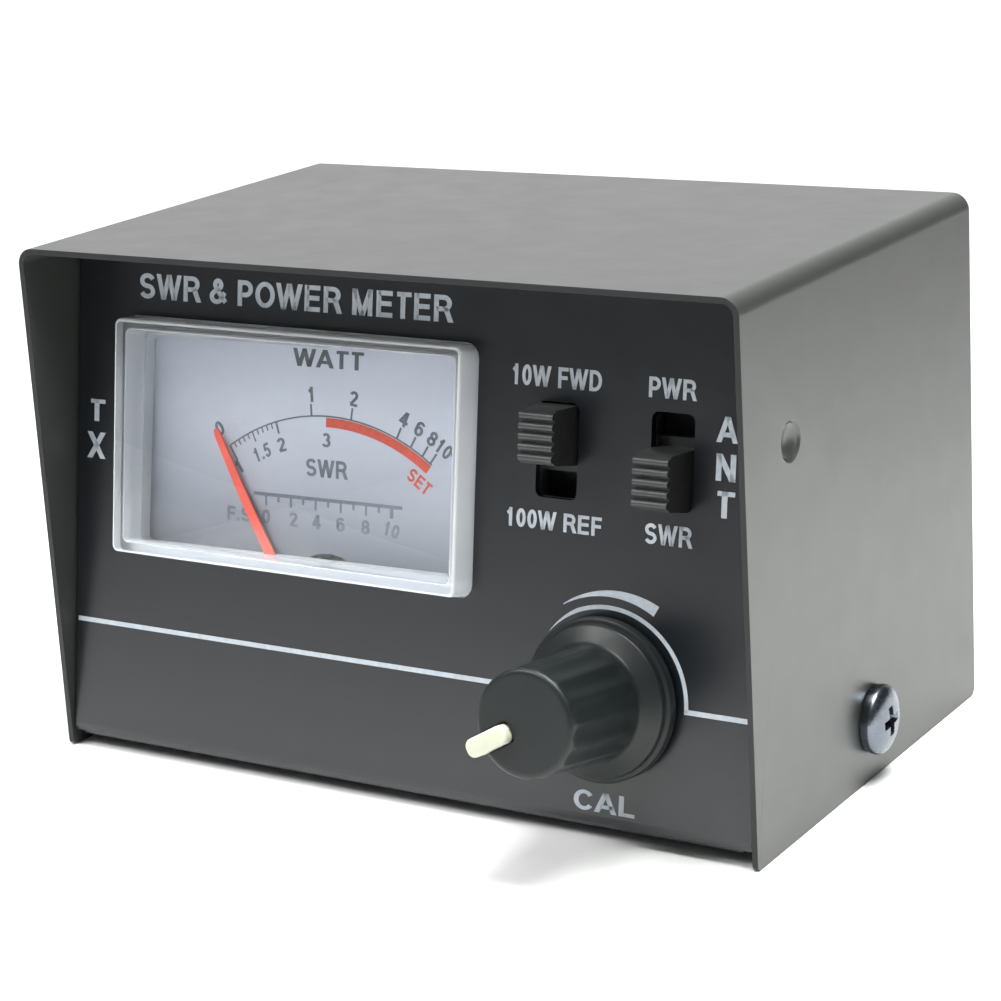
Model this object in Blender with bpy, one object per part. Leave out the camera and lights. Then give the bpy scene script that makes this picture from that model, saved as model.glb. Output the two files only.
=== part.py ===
"""SWR and power meter for two-way radio: bench case, panel meter, controls and coupler.

World frame: metres, +Z up, front towards -Y, +X to the right as seen from the front.
The origin is the bottom centre of the whole part. Sizes below are in millimetres and
are turned into metres in one place, `to_mesh`.

Everything fixed to the leaning front panel is drawn in the panel's own frame:
x = across, y = up the slope from the panel's lower edge, z = out of the panel.
"""
import math

import bmesh
import bpy
from mathutils import Matrix, Vector

MM = 0.001
GAP = 0.3                       # clearance between neighbouring pieces

# ---- case ---------------------------------------------------------------------------
COVER_W, COVER_D, COVER_H = 110.0, 68.7, 72.3
COVER_T = 0.8                   # sheet thickness
COVER_BEND = 1.6                # inner bend radius
FRONT_Y = -31.7                 # where the cover's front edge lies in Y
TILT = math.radians(9.7)        # the panel leans back by this much
PANEL_Y, PANEL_Z = 0.15, 1.35   # lower edge of the panel, behind and above the cover's corner
CHASSIS_W = 107.8
CHASSIS_T = 1.0
CHASSIS_TOP = 70.2
CORNER_W, CORNER_H = 1.3, 0.9   # relief cut at each lower corner of the panel
REAR_FACE = 68.2                # outer face of the rear panel, from the cover's front edge
SIDE_SCREW_Y, SIDE_SCREW_Z = 34.35, 8.3
SIDE_SCREW_R, SIDE_SCREW_TURN = 4.7, math.radians(6)     # head, and where its cross points
BRACKET_Y, BRACKET_Z, BRACKET_R = 12.45, 51.9, 2.3

# ---- meter, in panel coordinates -------------------------------------------------------
LENS_X0, LENS_X1, LENS_Y0, LENS_Y1 = -45.6, 11.9, 28.0, 60.7
LENS_OUT = 3.0                  # how far the window stands out of the panel
LENS_WALL = 1.3
CASE_X0, CASE_X1, CASE_Y0, CASE_Y1 = -47.2, 13.5, 8.4, 62.4
CASE_BACK = -25.2
DIAL_Z = -5.3                   # front of the dial plate
PIVOT_X, PIVOT_Y = -14.65, 21.0
NEEDLE_ZERO = 125.4             # degrees, pointer direction at rest
CORE_R, YOKE_R0, YOKE_R1 = 5.8, 8.2, 10.8
CORE_Z0, CORE_Z1 = -17.0, -10.2

# ---- controls, in panel coordinates ----------------------------------------------------
SLOT_W, SLOT_H = 6.05, 12.3
SLOT_Y = 48.3
SWITCH_X = {"power": 24.25, "mode": 40.7}
TRAVEL = 4.2
SWITCH_REST = {"power": 1, "mode": -1}          # up and down
STEM_W, STEM_H, BUTTON_OUT = 5.5, 7.6, 5.7
KNOB_X, KNOB_Y, KNOB_TOP = 32.5, 17.5, 19.9
KNOB_ANGLE = 210.0              # degrees, pointer direction at rest
POINTER_IN, POINTER_OUT = 2.2, 8.3                       # the pointer's ends, from the axis
SHAFT_R, BUSH_R = 2.9, 3.5

# ---- rear sockets ----------------------------------------------------------------------
SOCKET_X, SOCKET_Z = 27.0, 36.5
FLANGE, FLANGE_T = 25.4, 2.0
BARREL_R, BARREL_L = 7.9, 11.5
SCREW_PITCH = 9.1               # flange hole, from the socket's axis


# ========================================================================================
# small geometry kit
# ========================================================================================
def clear_scene():
    for obj in list(bpy.data.objects):
        bpy.data.objects.remove(obj)


def material(name, colour, rough, metal=0.0, alpha=1.0, transmission=0.0):
    """A Principled material of the object's own."""
    mat = bpy.data.materials.new(name)
    mat.use_nodes = True
    bsdf = mat.node_tree.nodes["Principled BSDF"]
    bsdf.inputs["Base Color"].default_value = (*colour, 1.0)
    bsdf.inputs["Roughness"].default_value = rough
    bsdf.inputs["Metallic"].default_value = metal
    bsdf.inputs["Alpha"].default_value = alpha
    bsdf.inputs["Transmission Weight"].default_value = transmission
    return mat


def frame(x_axis, y_axis, z_axis, origin):
    """Matrix of a right-handed frame with its origin in millimetres."""
    m = Matrix((x_axis, y_axis, z_axis)).transposed().to_4x4()
    m.translation = Vector(origin) * MM
    return m


PANEL_UP = Vector((0, math.sin(TILT), math.cos(TILT)))
PANEL_OUT = Vector((0, -math.cos(TILT), math.sin(TILT)))
PANEL = frame((1, 0, 0), PANEL_UP, PANEL_OUT, (0, FRONT_Y + PANEL_Y, PANEL_Z))
CASE = frame((1, 0, 0), (0, 0, 1), (0, -1, 0), (0, FRONT_Y, 0))       # x, up, forward
SECTION = frame((0, 1, 0), (0, 0, 1), (1, 0, 0), (0, FRONT_Y, 0))     # back, up, right
REAR = frame((1, 0, 0), (0, 0, -1), (0, 1, 0), (0, FRONT_Y + REAR_FACE, 0))


def on_panel(x, y, z=0.0, turn=0.0):
    """The panel frame moved to a point, turned about its outward axis."""
    shift = Matrix.Translation(Vector((x, y, z)) * MM)
    return PANEL @ shift @ Matrix.Rotation(math.radians(turn), 4, "Z")


def at_rear(x, z_up, out=0.0):
    """The rear panel's frame moved to a point of its face: z runs backwards, outwards."""
    return REAR @ Matrix.Translation(Vector((x, -z_up, out)) * MM)


def circle(radius, count, cx=0.0, cy=0.0, start=0.0):
    step = 2 * math.pi / count
    return [(cx + radius * math.cos(start + i * step), cy + radius * math.sin(start + i * step))
            for i in range(count)]


def rounded(x0, x1, y0, y1, radius, seg=4):
    """Rounded rectangle, anticlockwise."""
    points = []
    corners = ((x1 - radius, y0 + radius, -90), (x1 - radius, y1 - radius, 0),
               (x0 + radius, y1 - radius, 90), (x0 + radius, y0 + radius, 180))
    for cx, cy, first in corners:
        for i in range(seg + 1):
            a = math.radians(first + 90 * i / seg)
            points.append((cx + radius * math.cos(a), cy + radius * math.sin(a)))
    return points


def fillet(before, corner, after, radius, seg=6):
    """Points of the arc that rounds one corner of a path."""
    p = Vector(corner)
    a, b = (Vector(before) - p).normalized(), (Vector(after) - p).normalized()
    half = a.angle(b) / 2
    centre = p + (a + b).normalized() * (radius / math.sin(half))
    start, end = p + a * (radius / math.tan(half)) - centre, p + b * (radius / math.tan(half)) - centre
    sweep = start.angle_signed(end)
    turned = [Matrix.Rotation(-sweep * i / seg, 2) @ start for i in range(seg + 1)]
    return [tuple(centre + v) for v in turned]


def bent_sheet(path, thickness, inner_radius):
    """Outline of a folded sheet; `path` is its outer side, and the sheet lies to its left."""
    pts = [Vector(p) for p in path]
    normals = []
    for a, b in zip(pts, pts[1:]):
        along = (b - a).normalized()
        normals.append(Vector((-along.y, along.x)))
    inner = [pts[0] + normals[0] * thickness]
    for i in range(1, len(pts) - 1):
        bisector = (normals[i - 1] + normals[i]).normalized()
        inner.append(pts[i] + bisector * (thickness / bisector.dot(normals[i])))
    inner.append(pts[-1] + normals[-1] * thickness)
    outer_side, inner_side = [tuple(pts[0])], [tuple(inner[0])]
    for i in range(1, len(pts) - 1):
        outer_side += fillet(pts[i - 1], pts[i], pts[i + 1], inner_radius + thickness)
        inner_side += fillet(inner[i - 1], inner[i], inner[i + 1], inner_radius)
    outer_side.append(tuple(pts[-1]))
    inner_side.append(tuple(inner[-1]))
    return outer_side + inner_side[::-1]


def skin(bm, rings, closed=False):
    """Join loops of equal length into one surface, capped at both ends unless closed."""
    loops = [[bm.verts.new(Vector(p) * MM) for p in ring] for ring in rings]
    pairs = list(zip(loops, loops[1:] + loops[:1])) if closed else list(zip(loops, loops[1:]))
    count = len(loops[0])
    for low, high in pairs:
        for i in range(count):
            j = (i + 1) % count
            bm.faces.new((low[i], low[j], high[j], high[i]))
    if not closed:
        bm.faces.new(loops[0][::-1])
        bm.faces.new(loops[-1])


def to_mesh(name, bm):
    bmesh.ops.recalc_face_normals(bm, faces=bm.faces)
    mesh = bpy.data.meshes.new(name)
    bm.to_mesh(mesh)
    bm.free()
    return mesh


def add(name, bm, where, mat=None):
    """Put a finished bmesh in the scene as one named object."""
    obj = bpy.data.objects.new(name, to_mesh(name, bm))
    bpy.context.collection.objects.link(obj)
    obj.matrix_world = where
    if mat:
        obj.data.materials.append(mat)
    return obj


def loft(name, rings, where, mat=None, closed=False):
    bm = bmesh.new()
    skin(bm, rings, closed)
    return add(name, bm, where, mat)


def prism(name, outline, z0, z1, where, mat=None):
    """An outline in the frame's own plane, extruded from z0 to z1."""
    return loft(name, [[(x, y, z) for x, y in outline] for z in (z0, z1)], where, mat)


def box(name, x0, x1, y0, y1, z0, z1, where, mat=None):
    return prism(name, [(x0, y0), (x1, y0), (x1, y1), (x0, y1)], z0, z1, where, mat)


def turned(name, profile, where, mat=None, count=32):
    """A turned piece about the frame's z axis.

    `profile` is a list of (radius, z). It starts and ends on the axis, or it is a closed
    loop that stays off the axis.
    """
    on_axis = profile[0][0] == 0
    body = profile[1:-1] if on_axis else profile
    bm = bmesh.new()
    loops = [[bm.verts.new(Vector((x, y, z)) * MM) for x, y in circle(r, count)] for r, z in body]
    pairs = list(zip(loops, loops[1:]))
    if not on_axis:
        pairs.append((loops[-1], loops[0]))
    for low, high in pairs:
        for i in range(count):
            j = (i + 1) % count
            bm.faces.new((low[i], low[j], high[j], high[i]))
    if on_axis:
        for loop, z in ((loops[0], profile[0][1]), (loops[-1], profile[-1][1])):
            if abs(loop[0].co.z / MM - z) < 1e-6:
                bm.faces.new(loop)
            else:
                pole = bm.verts.new((0, 0, z * MM))
                for i in range(count):
                    bm.faces.new((loop[i], loop[(i + 1) % count], pole))
    return add(name, bm, where, mat)


def tube(name, path, radius, mat, where, count=8):
    """A round wire along a path of points, closed at both ends."""
    pts = [Vector(p) for p in path]
    rings, side = [], None
    for i, p in enumerate(pts):
        ahead = (pts[min(i + 1, len(pts) - 1)] - pts[max(i - 1, 0)]).normalized()
        if side is None:
            side = ahead.orthogonal().normalized()
        side = (side - ahead * side.dot(ahead)).normalized()
        other = ahead.cross(side)
        rings.append([p + (side * c + other * s) * radius for c, s in circle(1.0, count)])
    return loft(name, rings, where, mat)


def smooth_path(points, steps=6):
    """Catmull-Rom curve through the points."""
    pts = [Vector(p) for p in points]
    pts = [pts[0] * 2 - pts[1]] + pts + [pts[-1] * 2 - pts[-2]]
    out = []
    for i in range(1, len(pts) - 2):
        a, b, c, d = pts[i - 1:i + 3]
        for k in range(steps):
            t = k / steps
            out.append(0.5 * (2 * b + (c - a) * t + (2 * a - 5 * b + 4 * c - d) * t * t
                              + (3 * b - a - 3 * c + d) * t ** 3))
    return out + [pts[-2]]


def bake(obj, name, kind, **settings):
    """Add one modifier, keep its result as the mesh, and drop the modifier."""
    mod = obj.modifiers.new(name, kind)
    for key, value in settings.items():
        setattr(mod, key, value)
    bpy.context.view_layer.update()
    graph = bpy.context.evaluated_depsgraph_get()
    mesh = bpy.data.meshes.new_from_object(obj.evaluated_get(graph))
    obj.modifiers.clear()
    old, obj.data = obj.data, mesh
    mesh.name = old.name
    return obj


def combine(obj, tools, operation="DIFFERENCE"):
    """Cut with, or join to, a list of tool solids, which are used up."""
    for tool in tools:
        bake(obj, "combine", "BOOLEAN", operation=operation, solver="EXACT", object=tool)
        bpy.data.objects.remove(tool)
    return obj


def finish_shading():
    """Smooth shading everywhere, with sharp edges kept sharp."""
    for obj in bpy.data.objects:
        if obj.type == "MESH":
            obj.data.polygons.foreach_set("use_smooth", [True] * len(obj.data.polygons))
            obj.data.set_sharp_from_angle(angle=math.radians(32))


# ========================================================================================
# case
# ========================================================================================
def make_cover():
    half = COVER_W / 2
    outline = bent_sheet([(half, 0), (half, COVER_H), (-half, COVER_H), (-half, 0)],
                         COVER_T, COVER_BEND)
    paint = material("cover", (0.035, 0.038, 0.037), 0.42)
    cover = prism("cover", outline, -COVER_D, 0, CASE, paint)
    # the lower corners of both sides are rounded off
    tools = []
    for y, radius in ((0.0, 0.8), (COVER_D, 1.4)):
        toward = 1 if y == 0 else -1
        arc = [(y + toward * radius * (1 - math.sin(a)), radius * (1 - math.cos(a)))
               for a in (math.radians(90 * i / 5) for i in range(6))]
        tools.append(prism("corner", [(y - toward, -1), (y + toward * radius, -1)] + arc
                           + [(y - toward, radius)], -half - 1, half + 1, SECTION))
    for side in (-1, 1):
        tools.append(side_tool(SIDE_SCREW_Y, SIDE_SCREW_Z, 2.2, side, 0.0))
        tools.append(side_tool(BRACKET_Y, BRACKET_Z, BRACKET_R, side, 0.4))
    return combine(cover, tools)


def side_tool(y, z, radius, side, flare):
    """Cutter for a hole through one side of the cover, flared at its outer mouth."""
    half = COVER_W / 2
    profile = [(0, half - 4), (radius, half - 4), (radius, half - flare),
               (radius + flare, half), (radius + flare, half + 1), (0, half + 1)]
    if not flare:
        profile = [(0, half - 4), (radius, half - 4), (radius, half + 1), (0, half + 1)]
    where = frame((0, side, 0), (0, 0, 1), (side, 0, 0), (0, FRONT_Y + y, z))
    return turned("hole", profile, where, count=28)


def panel_depth(z):
    """How far the panel's face lies behind the cover's front edge at height z."""
    return PANEL_Y + (z - PANEL_Z) * math.tan(TILT)


def make_chassis():
    slope = (CHASSIS_TOP - PANEL_Z) / math.cos(TILT)
    top = (PANEL_Y + slope * math.sin(TILT), CHASSIS_TOP)
    outline = bent_sheet([top, (PANEL_Y, PANEL_Z), (REAR_FACE, PANEL_Z), (REAR_FACE, CHASSIS_TOP)],
                         CHASSIS_T, 0.8)
    half = CHASSIS_W / 2
    paint = material("chassis", (0.03, 0.033, 0.033), 0.5)
    chassis = prism("chassis", outline, -half, half, SECTION, paint)
    tabs = []
    for side in (-1, 1):
        lo, hi = sorted((side * (half - 0.06), side * (half - 1.06)))
        tab = prism("tab", rounded(SIDE_SCREW_Y - 8, SIDE_SCREW_Y + 8, PANEL_Z + 0.5, 16.5, 2.0, 3),
                    lo, hi, SECTION)
        tabs.append(tab)
        # ear behind the cover's bracket hole, joined to the back of the leaning panel
        low, high = BRACKET_Z - 6.0, BRACKET_Z + 6.0
        ear = [(panel_depth(low) + 0.5, low), (BRACKET_Y + 6.5, low), (BRACKET_Y + 6.5, high),
               (panel_depth(high) + 0.5, high)]
        tabs.append(prism("ear", ear, lo, hi, SECTION))
    combine(chassis, tabs, "UNION")
    holes = [prism("window", rounded(LENS_X0 - GAP, LENS_X1 + GAP, LENS_Y0 - GAP, LENS_Y1 + GAP,
                                     1.9), -4, 3, PANEL)]
    for x in SWITCH_X.values():
        holes.append(prism("slot", rounded(x - SLOT_W / 2, x + SLOT_W / 2, SLOT_Y - SLOT_H / 2,
                                           SLOT_Y + SLOT_H / 2, 0.9, 3), -4, 3, PANEL))
    holes.append(prism("bush_hole", circle(BUSH_R + GAP, 28), -4, 3, on_panel(KNOB_X, KNOB_Y)))
    for side in (-1, 1):
        where = frame((0, side, 0), (0, 0, 1), (side, 0, 0),
                      (0, FRONT_Y + SIDE_SCREW_Y, SIDE_SCREW_Z))
        holes.append(prism("tab_hole", circle(2.2, 20), half - 4, half + 2, where))
        where = frame((0, side, 0), (0, 0, 1), (side, 0, 0), (0, FRONT_Y + BRACKET_Y, BRACKET_Z))
        holes.append(prism("bracket_thread", circle(1.5, 20), half - 4, half + 2, where))
        lo, hi = sorted((side * (half - CORNER_W), side * (half + 1)))
        holes.append(prism("relief", [(lo, -2), (hi, -2), (hi, CORNER_H), (lo, CORNER_H)], -3, 2, PANEL))
        socket = at_rear(side * SOCKET_X, SOCKET_Z)
        holes.append(prism("socket_hole", circle(7.4, 32), -4, 3, socket))
        for cx, cy in flange_screw_places(side):
            holes.append(prism("screw_hole", circle(1.75, 16, cx, cy), -4, 3, socket))
    return combine(chassis, holes)


def pan_screw(name, where, head_r, head_h, shank_r, shank_l, mat, drive=2.1, count=24):
    """Pan-head screw with a cross recess: head on +z, shank down -z."""
    dome = [(0, head_h)]
    steps = 5 if count > 20 else 3
    for i in range(1, steps):
        a = math.radians(90 * i / steps)
        dome.append((head_r * math.sin(a) ** 0.9, head_h * (0.42 + 0.58 * math.cos(a))))
    dome += [(head_r, 0.36 * head_h), (head_r, 0.0), (shank_r, 0.0), (shank_r, -shank_l + 0.4),
             (shank_r - 0.4, -shank_l), (0, -shank_l)]
    screw = turned(name, dome, where, mat, count)
    wide, deep = drive * 0.28, head_h * 0.62
    tools = []
    for turn in (0, 90):
        arm = where @ Matrix.Rotation(math.radians(turn), 4, "Z")
        ends = [(-drive, -wide), (drive, -wide), (drive, wide), (-drive, wide)]
        narrow = [(x * 0.35, y * 0.8) for x, y in ends]
        rings = [[(x, y, head_h - deep) for x, y in narrow], [(x, y, head_h + 0.3) for x, y in ends]]
        tools.append(loft("drive", rings, arm))
    cross = combine(tools[0], tools[1:], "UNION")
    return combine(screw, [cross])


def make_case_screws():
    for side, name in ((-1, "cover_screw_left"), (1, "cover_screw_right")):
        steel = material(name, (0.30, 0.31, 0.33), 0.28, 1.0)
        where = frame((0, side, 0), (0, 0, 1), (side, 0, 0),
                      (side * (COVER_W / 2 + 0.15), FRONT_Y + SIDE_SCREW_Y, SIDE_SCREW_Z))
        where = where @ Matrix.Rotation(SIDE_SCREW_TURN, 4, "Z")
        pan_screw(name, where, SIDE_SCREW_R, 2.6, 1.9, 5.2, steel, 2.4)


# ========================================================================================
# panel meter
# ========================================================================================
def ring_at(shape, z):
    return [(x, y, z) for x, y in shape]


def make_meter_lens():
    """Clear window with its flange behind the panel; open at the back."""
    x0, x1, y0, y1 = LENS_X0, LENS_X1, LENS_Y0, LENS_Y1
    wall = LENS_WALL
    inner = rounded(x0 + wall, x1 - wall, y0 + wall, y1 - wall, 0.8)
    inner_front = rounded(x0 + wall + 0.5, x1 - wall - 0.6, y0 + wall + 0.3, y1 - wall - 0.2, 0.8)
    flange = rounded(CASE_X0, CASE_X1, CASE_Y0, CASE_Y1, 2.0)
    base = rounded(x0, x1, y0, y1, 1.6)
    shoulder = rounded(x0 + 0.3, x1 - 0.6, y0 + 0.15, y1 - 0.1, 1.5)
    front = rounded(x0 + 0.7, x1 - 1.0, y0 + 0.55, y1 - 0.5, 1.2)
    back, seat = -3.0, -CHASSIS_T - GAP
    rings = [ring_at(inner_front, LENS_OUT - 1.2), ring_at(inner, 0.0), ring_at(inner, back),
             ring_at(flange, back), ring_at(flange, seat), ring_at(base, seat), ring_at(base, 0.2),
             ring_at(shoulder, LENS_OUT - 0.35), ring_at(front, LENS_OUT)]
    clear = material("meter_lens", (0.93, 0.95, 0.96), 0.04, 0.0, 0.35, 0.0)
    return loft("meter_lens", rings, PANEL, clear)


def make_meter_case():
    """Moulded back box of the meter, with bosses that carry the movement."""
    wall, front = 1.2, -3.0 - GAP
    outer = rounded(CASE_X0, CASE_X1, CASE_Y0, CASE_Y1, 2.0)
    inner = rounded(CASE_X0 + wall, CASE_X1 - wall, CASE_Y0 + wall, CASE_Y1 - wall, 1.0)
    rings = [ring_at(inner, CASE_BACK + wall), ring_at(inner, front), ring_at(outer, front),
             ring_at(outer, CASE_BACK)]
    plastic = material("meter_case", (0.42, 0.44, 0.43), 0.5)
    case = loft("meter_case", rings, PANEL, plastic)
    bosses = [prism("boss", circle(2.0, 20), CASE_BACK + 0.5, -21.5,
                    on_panel(PIVOT_X + side * 8.5, PIVOT_Y)) for side in (-1, 1)]
    # ledges that carry the dial plate along both ends
    for lo, hi in ((CASE_X0 + 0.6, CASE_X0 + 3.8), (CASE_X1 - 3.8, CASE_X1 - 0.6)):
        bosses.append(box("ledge", lo, hi, 24.2, 58.9, CASE_BACK + 0.6, DIAL_Z - 0.8, PANEL))
    combine(case, bosses, "UNION")
    holes = [prism("stud_hole", circle(1.7, 16), CASE_BACK - 1, CASE_BACK + 3,
                   on_panel(PIVOT_X + side * 10, 38.0)) for side in (-1, 1)]
    return combine(case, holes)


def make_dial_plate():
    white = material("dial_plate", (0.80, 0.82, 0.86), 0.6)
    plate = prism("dial_plate", rounded(-44.4, 10.7, 24.2, 58.9, 0.6, 2), DIAL_Z - 0.5, DIAL_Z,
                  PANEL, white)
    arch = prism("arch", circle(7.2, 40), DIAL_Z - 2, DIAL_Z + 2, on_panel(-13.6, 22.8))
    return combine(plate, [arch])


def pivot_frame(turn=0.0):
    return on_panel(PIVOT_X, PIVOT_Y, 0.0, turn)


def make_needle():
    """Pointer with its hub, cranked arm and balance tail; x of its frame is the pointer."""
    red = material("needle", (0.85, 0.13, 0.08), 0.45)
    where = pivot_frame(NEEDLE_ZERO)

    def station(x, y, z, half, thick):
        return [(x, y - half, z - thick / 2), (x, y + half, z - thick / 2),
                (x, y + half, z + thick / 2), (x, y - half, z + thick / 2)]

    blade_z = -4.3
    # (along, aside, height, half width, thickness): the blade's root stands to one side
    rings = [station(1.2, 0.0, -7.75, 0.7, 0.5), station(3.8, 1.3, -7.75, 0.75, 0.5),
             station(4.9, 1.85, -7.6, 0.8, 0.55), station(5.7, 2.0, blade_z - 0.1, 0.8, 0.55),
             station(7.0, 2.1, blade_z, 0.85, 0.32), station(19.0, 1.1, blade_z, 0.68, 0.3),
             station(30.0, 0.0, blade_z, 0.5, 0.3), station(30.8, -0.1, blade_z, 0.25, 0.3)]
    needle = loft("needle", rings, where, red)
    hub = turned("hub", [(0.62, -8.05), (1.7, -8.05), (1.7, -7.45), (0.62, -7.45)], where, count=20)
    tail = box("tail", -6.2, -1.3, -0.4, 0.4, -8.0, -7.5, where)
    weight = box("weight", -6.3, -4.2, -1.1, 1.1, -8.1, -7.4, where)
    return combine(needle, [hub, tail, weight], "UNION")


def make_moving_coil():
    """Rectangular coil former around the core, with its two pivots."""
    copper = material("moving_coil", (0.60, 0.27, 0.13), 0.35, 1.0)
    where = pivot_frame(NEEDLE_ZERO + 90)
    half, inner = 7.6, 6.5
    z0, z1 = CORE_Z0 - 1.4, CORE_Z1 + 1.3
    outline = [(-half, z0), (half, z0), (half, z1), (-half, z1)]
    window = [(-inner, CORE_Z0 - 0.5), (inner, CORE_Z0 - 0.5), (inner, CORE_Z1 + 0.5),
              (-inner, CORE_Z1 + 0.5)]

    def slab(shape, y):
        return [(x, y, z) for x, z in shape]

    rings = [slab(outline, -1.3), slab(outline, 1.3), slab(window, 1.3), slab(window, -1.3)]
    coil = loft("moving_coil", rings, where, copper, closed=True)
    pivots = [turned("pivot", [(0, z1 - 0.4), (0.4, z1 - 0.4), (0.4, -7.45), (0.1, -7.25), (0, -7.25)],
                     where, count=12),
              turned("pivot", [(0, z0 + 0.4), (0.4, z0 + 0.4), (0.4, -19.7), (0.1, -19.9), (0, -19.9)],
                     where, count=12)]
    return combine(coil, pivots, "UNION")


def make_hairspring(name, z):
    """Flat spiral that returns the pointer to zero."""
    bronze = material(name, (0.55, 0.36, 0.16), 0.3, 1.0)
    path = []
    turns, steps = 3.5, 44
    for i in range(steps + 1):
        a = 2 * math.pi * turns * i / steps
        r = 0.95 + 2.9 * i / steps
        path.append((r * math.cos(a), r * math.sin(a), z))
    return tube(name, path, 0.14, bronze, pivot_frame(), count=4)


def make_movement():
    iron = material("magnet_core", (0.26, 0.26, 0.28), 0.4, 1.0)
    core = prism("magnet_core", circle(CORE_R, 24), CORE_Z0, CORE_Z1, pivot_frame(), iron)
    legs = [prism("leg", circle(0.8, 12, 0, side * 4.6), -20.0, CORE_Z0 + 0.5, pivot_frame())
            for side in (-1, 1)]
    combine(core, legs, "UNION")
    ring = [(YOKE_R0, CORE_Z0), (YOKE_R1, CORE_Z0), (YOKE_R1, CORE_Z1), (YOKE_R0, CORE_Z1)]
    turned("yoke_ring", ring, pivot_frame(), material("yoke_ring", (0.45, 0.44, 0.40), 0.35, 1.0), 28)
    for name, sheet, foot, post, half in (("front_bridge", (-6.9, -5.9), (-9.9, -6.5), (8.3, 10.6), 2.0),
                                          ("rear_bridge", (-21.2, -20.3), (-20.6, -17.3), (8.3, 10.6), 6.2)):
        brass = material(name, (0.62, 0.48, 0.22), 0.35, 1.0)
        bridge = box(name, -11.4, 11.4, -half, half, *sheet, pivot_frame(), brass)
        posts = [box("post", *sorted((s * post[0], s * post[1])), -1.6, 1.6, *foot, pivot_frame())
                 for s in (-1, 1)]
        combine(bridge, posts, "UNION")
        combine(bridge, [prism("hole", circle(1.5, 16), -23, -4, pivot_frame())])
    for name, low, high in (("jewel_front", -7.0, -5.0), ("jewel_rear", -22.6, -20.15)):
        steel = material(name, (0.55, 0.52, 0.46), 0.3, 1.0)
        jewel = prism(name, circle(1.2, 16), low, high, pivot_frame(), steel)
        face = high if name == "jewel_front" else low
        combine(jewel, [box("slot", -2, 2, -0.2, 0.2, face - 0.4, face + 0.4, pivot_frame())])
    for side, name in ((-1, "meter_terminal_pos"), (1, "meter_terminal_neg")):
        brass = material(name, (0.70, 0.55, 0.26), 0.3, 1.0)
        where = on_panel(PIVOT_X + side * 10, 38.0)
        stud = prism(name, circle(1.4, 16), -32.0, -22.5, where, brass)
        nut = prism("nut", circle(2.9, 6), CASE_BACK - GAP - 2.2, CASE_BACK - GAP, where)
        head = prism("head", circle(2.5, 16), CASE_BACK + 1.2 + GAP, -22.2, where)
        combine(stud, [nut, head], "UNION")


# ========================================================================================
# slide switches, calibration control and the front board
# ========================================================================================
def make_slider(which):
    """Thumb button with cross ribs, its stem, and the carriage behind the panel."""
    name = "switch_%s_slider" % which
    black = material(name, (0.035, 0.035, 0.037), 0.45)
    rest = SLOT_Y + SWITCH_REST[which] * TRAVEL / 2
    where = on_panel(SWITCH_X[which], rest)
    front_half, ribs = 3.3, 5
    pitch = 2 * front_half / ribs
    outline = [(-STEM_H / 2, -2.5), (-STEM_H / 2, 0.3), (-front_half - 0.15, BUTTON_OUT - 0.9)]
    for i in range(ribs):
        y = -front_half + i * pitch
        outline += [(y + 0.10 * pitch, BUTTON_OUT - 0.62), (y + 0.32 * pitch, BUTTON_OUT - 0.08),
                    (y + 0.50 * pitch, BUTTON_OUT), (y + 0.68 * pitch, BUTTON_OUT - 0.08),
                    (y + 0.90 * pitch, BUTTON_OUT - 0.62)]
    outline += [(front_half + 0.15, BUTTON_OUT - 0.9), (STEM_H / 2, 0.3), (STEM_H / 2, -2.5)]

    def side(sign):
        ring = []
        for y, z in outline:
            half = STEM_W / 2 - 0.30 * max(0.0, z) / BUTTON_OUT
            ring.append((sign * half, y, z))
        return ring

    slider = loft(name, [side(-1), side(1)], where, black)
    carriage = box("carriage", -3.9, 3.9, -5.0, 5.0, -5.2, -2.25, where)
    return combine(slider, [carriage], "UNION")


def make_switch(which):
    where = on_panel(SWITCH_X[which], SLOT_Y)
    steel = material("switch_%s_frame" % which, (0.55, 0.56, 0.58), 0.35, 1.0)
    front, back, t = -CHASSIS_T - GAP, -6.4, 0.5
    outline = [(-4.8, back), (-4.8, front), (4.8, front), (4.8, back), (4.8 - t, back),
               (4.8 - t, front - t), (-4.8 + t, front - t), (-4.8 + t, back)]
    rings = [[(x, y, z) for x, z in outline] for y in (-8.6, 8.6)]
    shell = loft("switch_%s_frame" % which, rings, where, steel)
    slot = prism("slot", rounded(-SLOT_W / 2, SLOT_W / 2, -SLOT_H / 2, SLOT_H / 2, 0.9, 3), -4, 0, where)
    combine(shell, [slot])
    dark = material("switch_%s_base" % which, (0.02, 0.018, 0.017), 0.6)
    base = box("switch_%s_base" % which, -4.0, 4.0, -8.2, 8.2, -7.6, -5.6, where, dark)
    pins = [box("pin", x - 0.3, x + 0.3, y - 0.8, y + 0.8, -9.9, -7.3, where)
            for x in (-2.4, 2.4) for y in (-5.0, 0.0, 5.0)]
    combine(base, pins, "UNION")
    make_slider(which)


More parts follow.
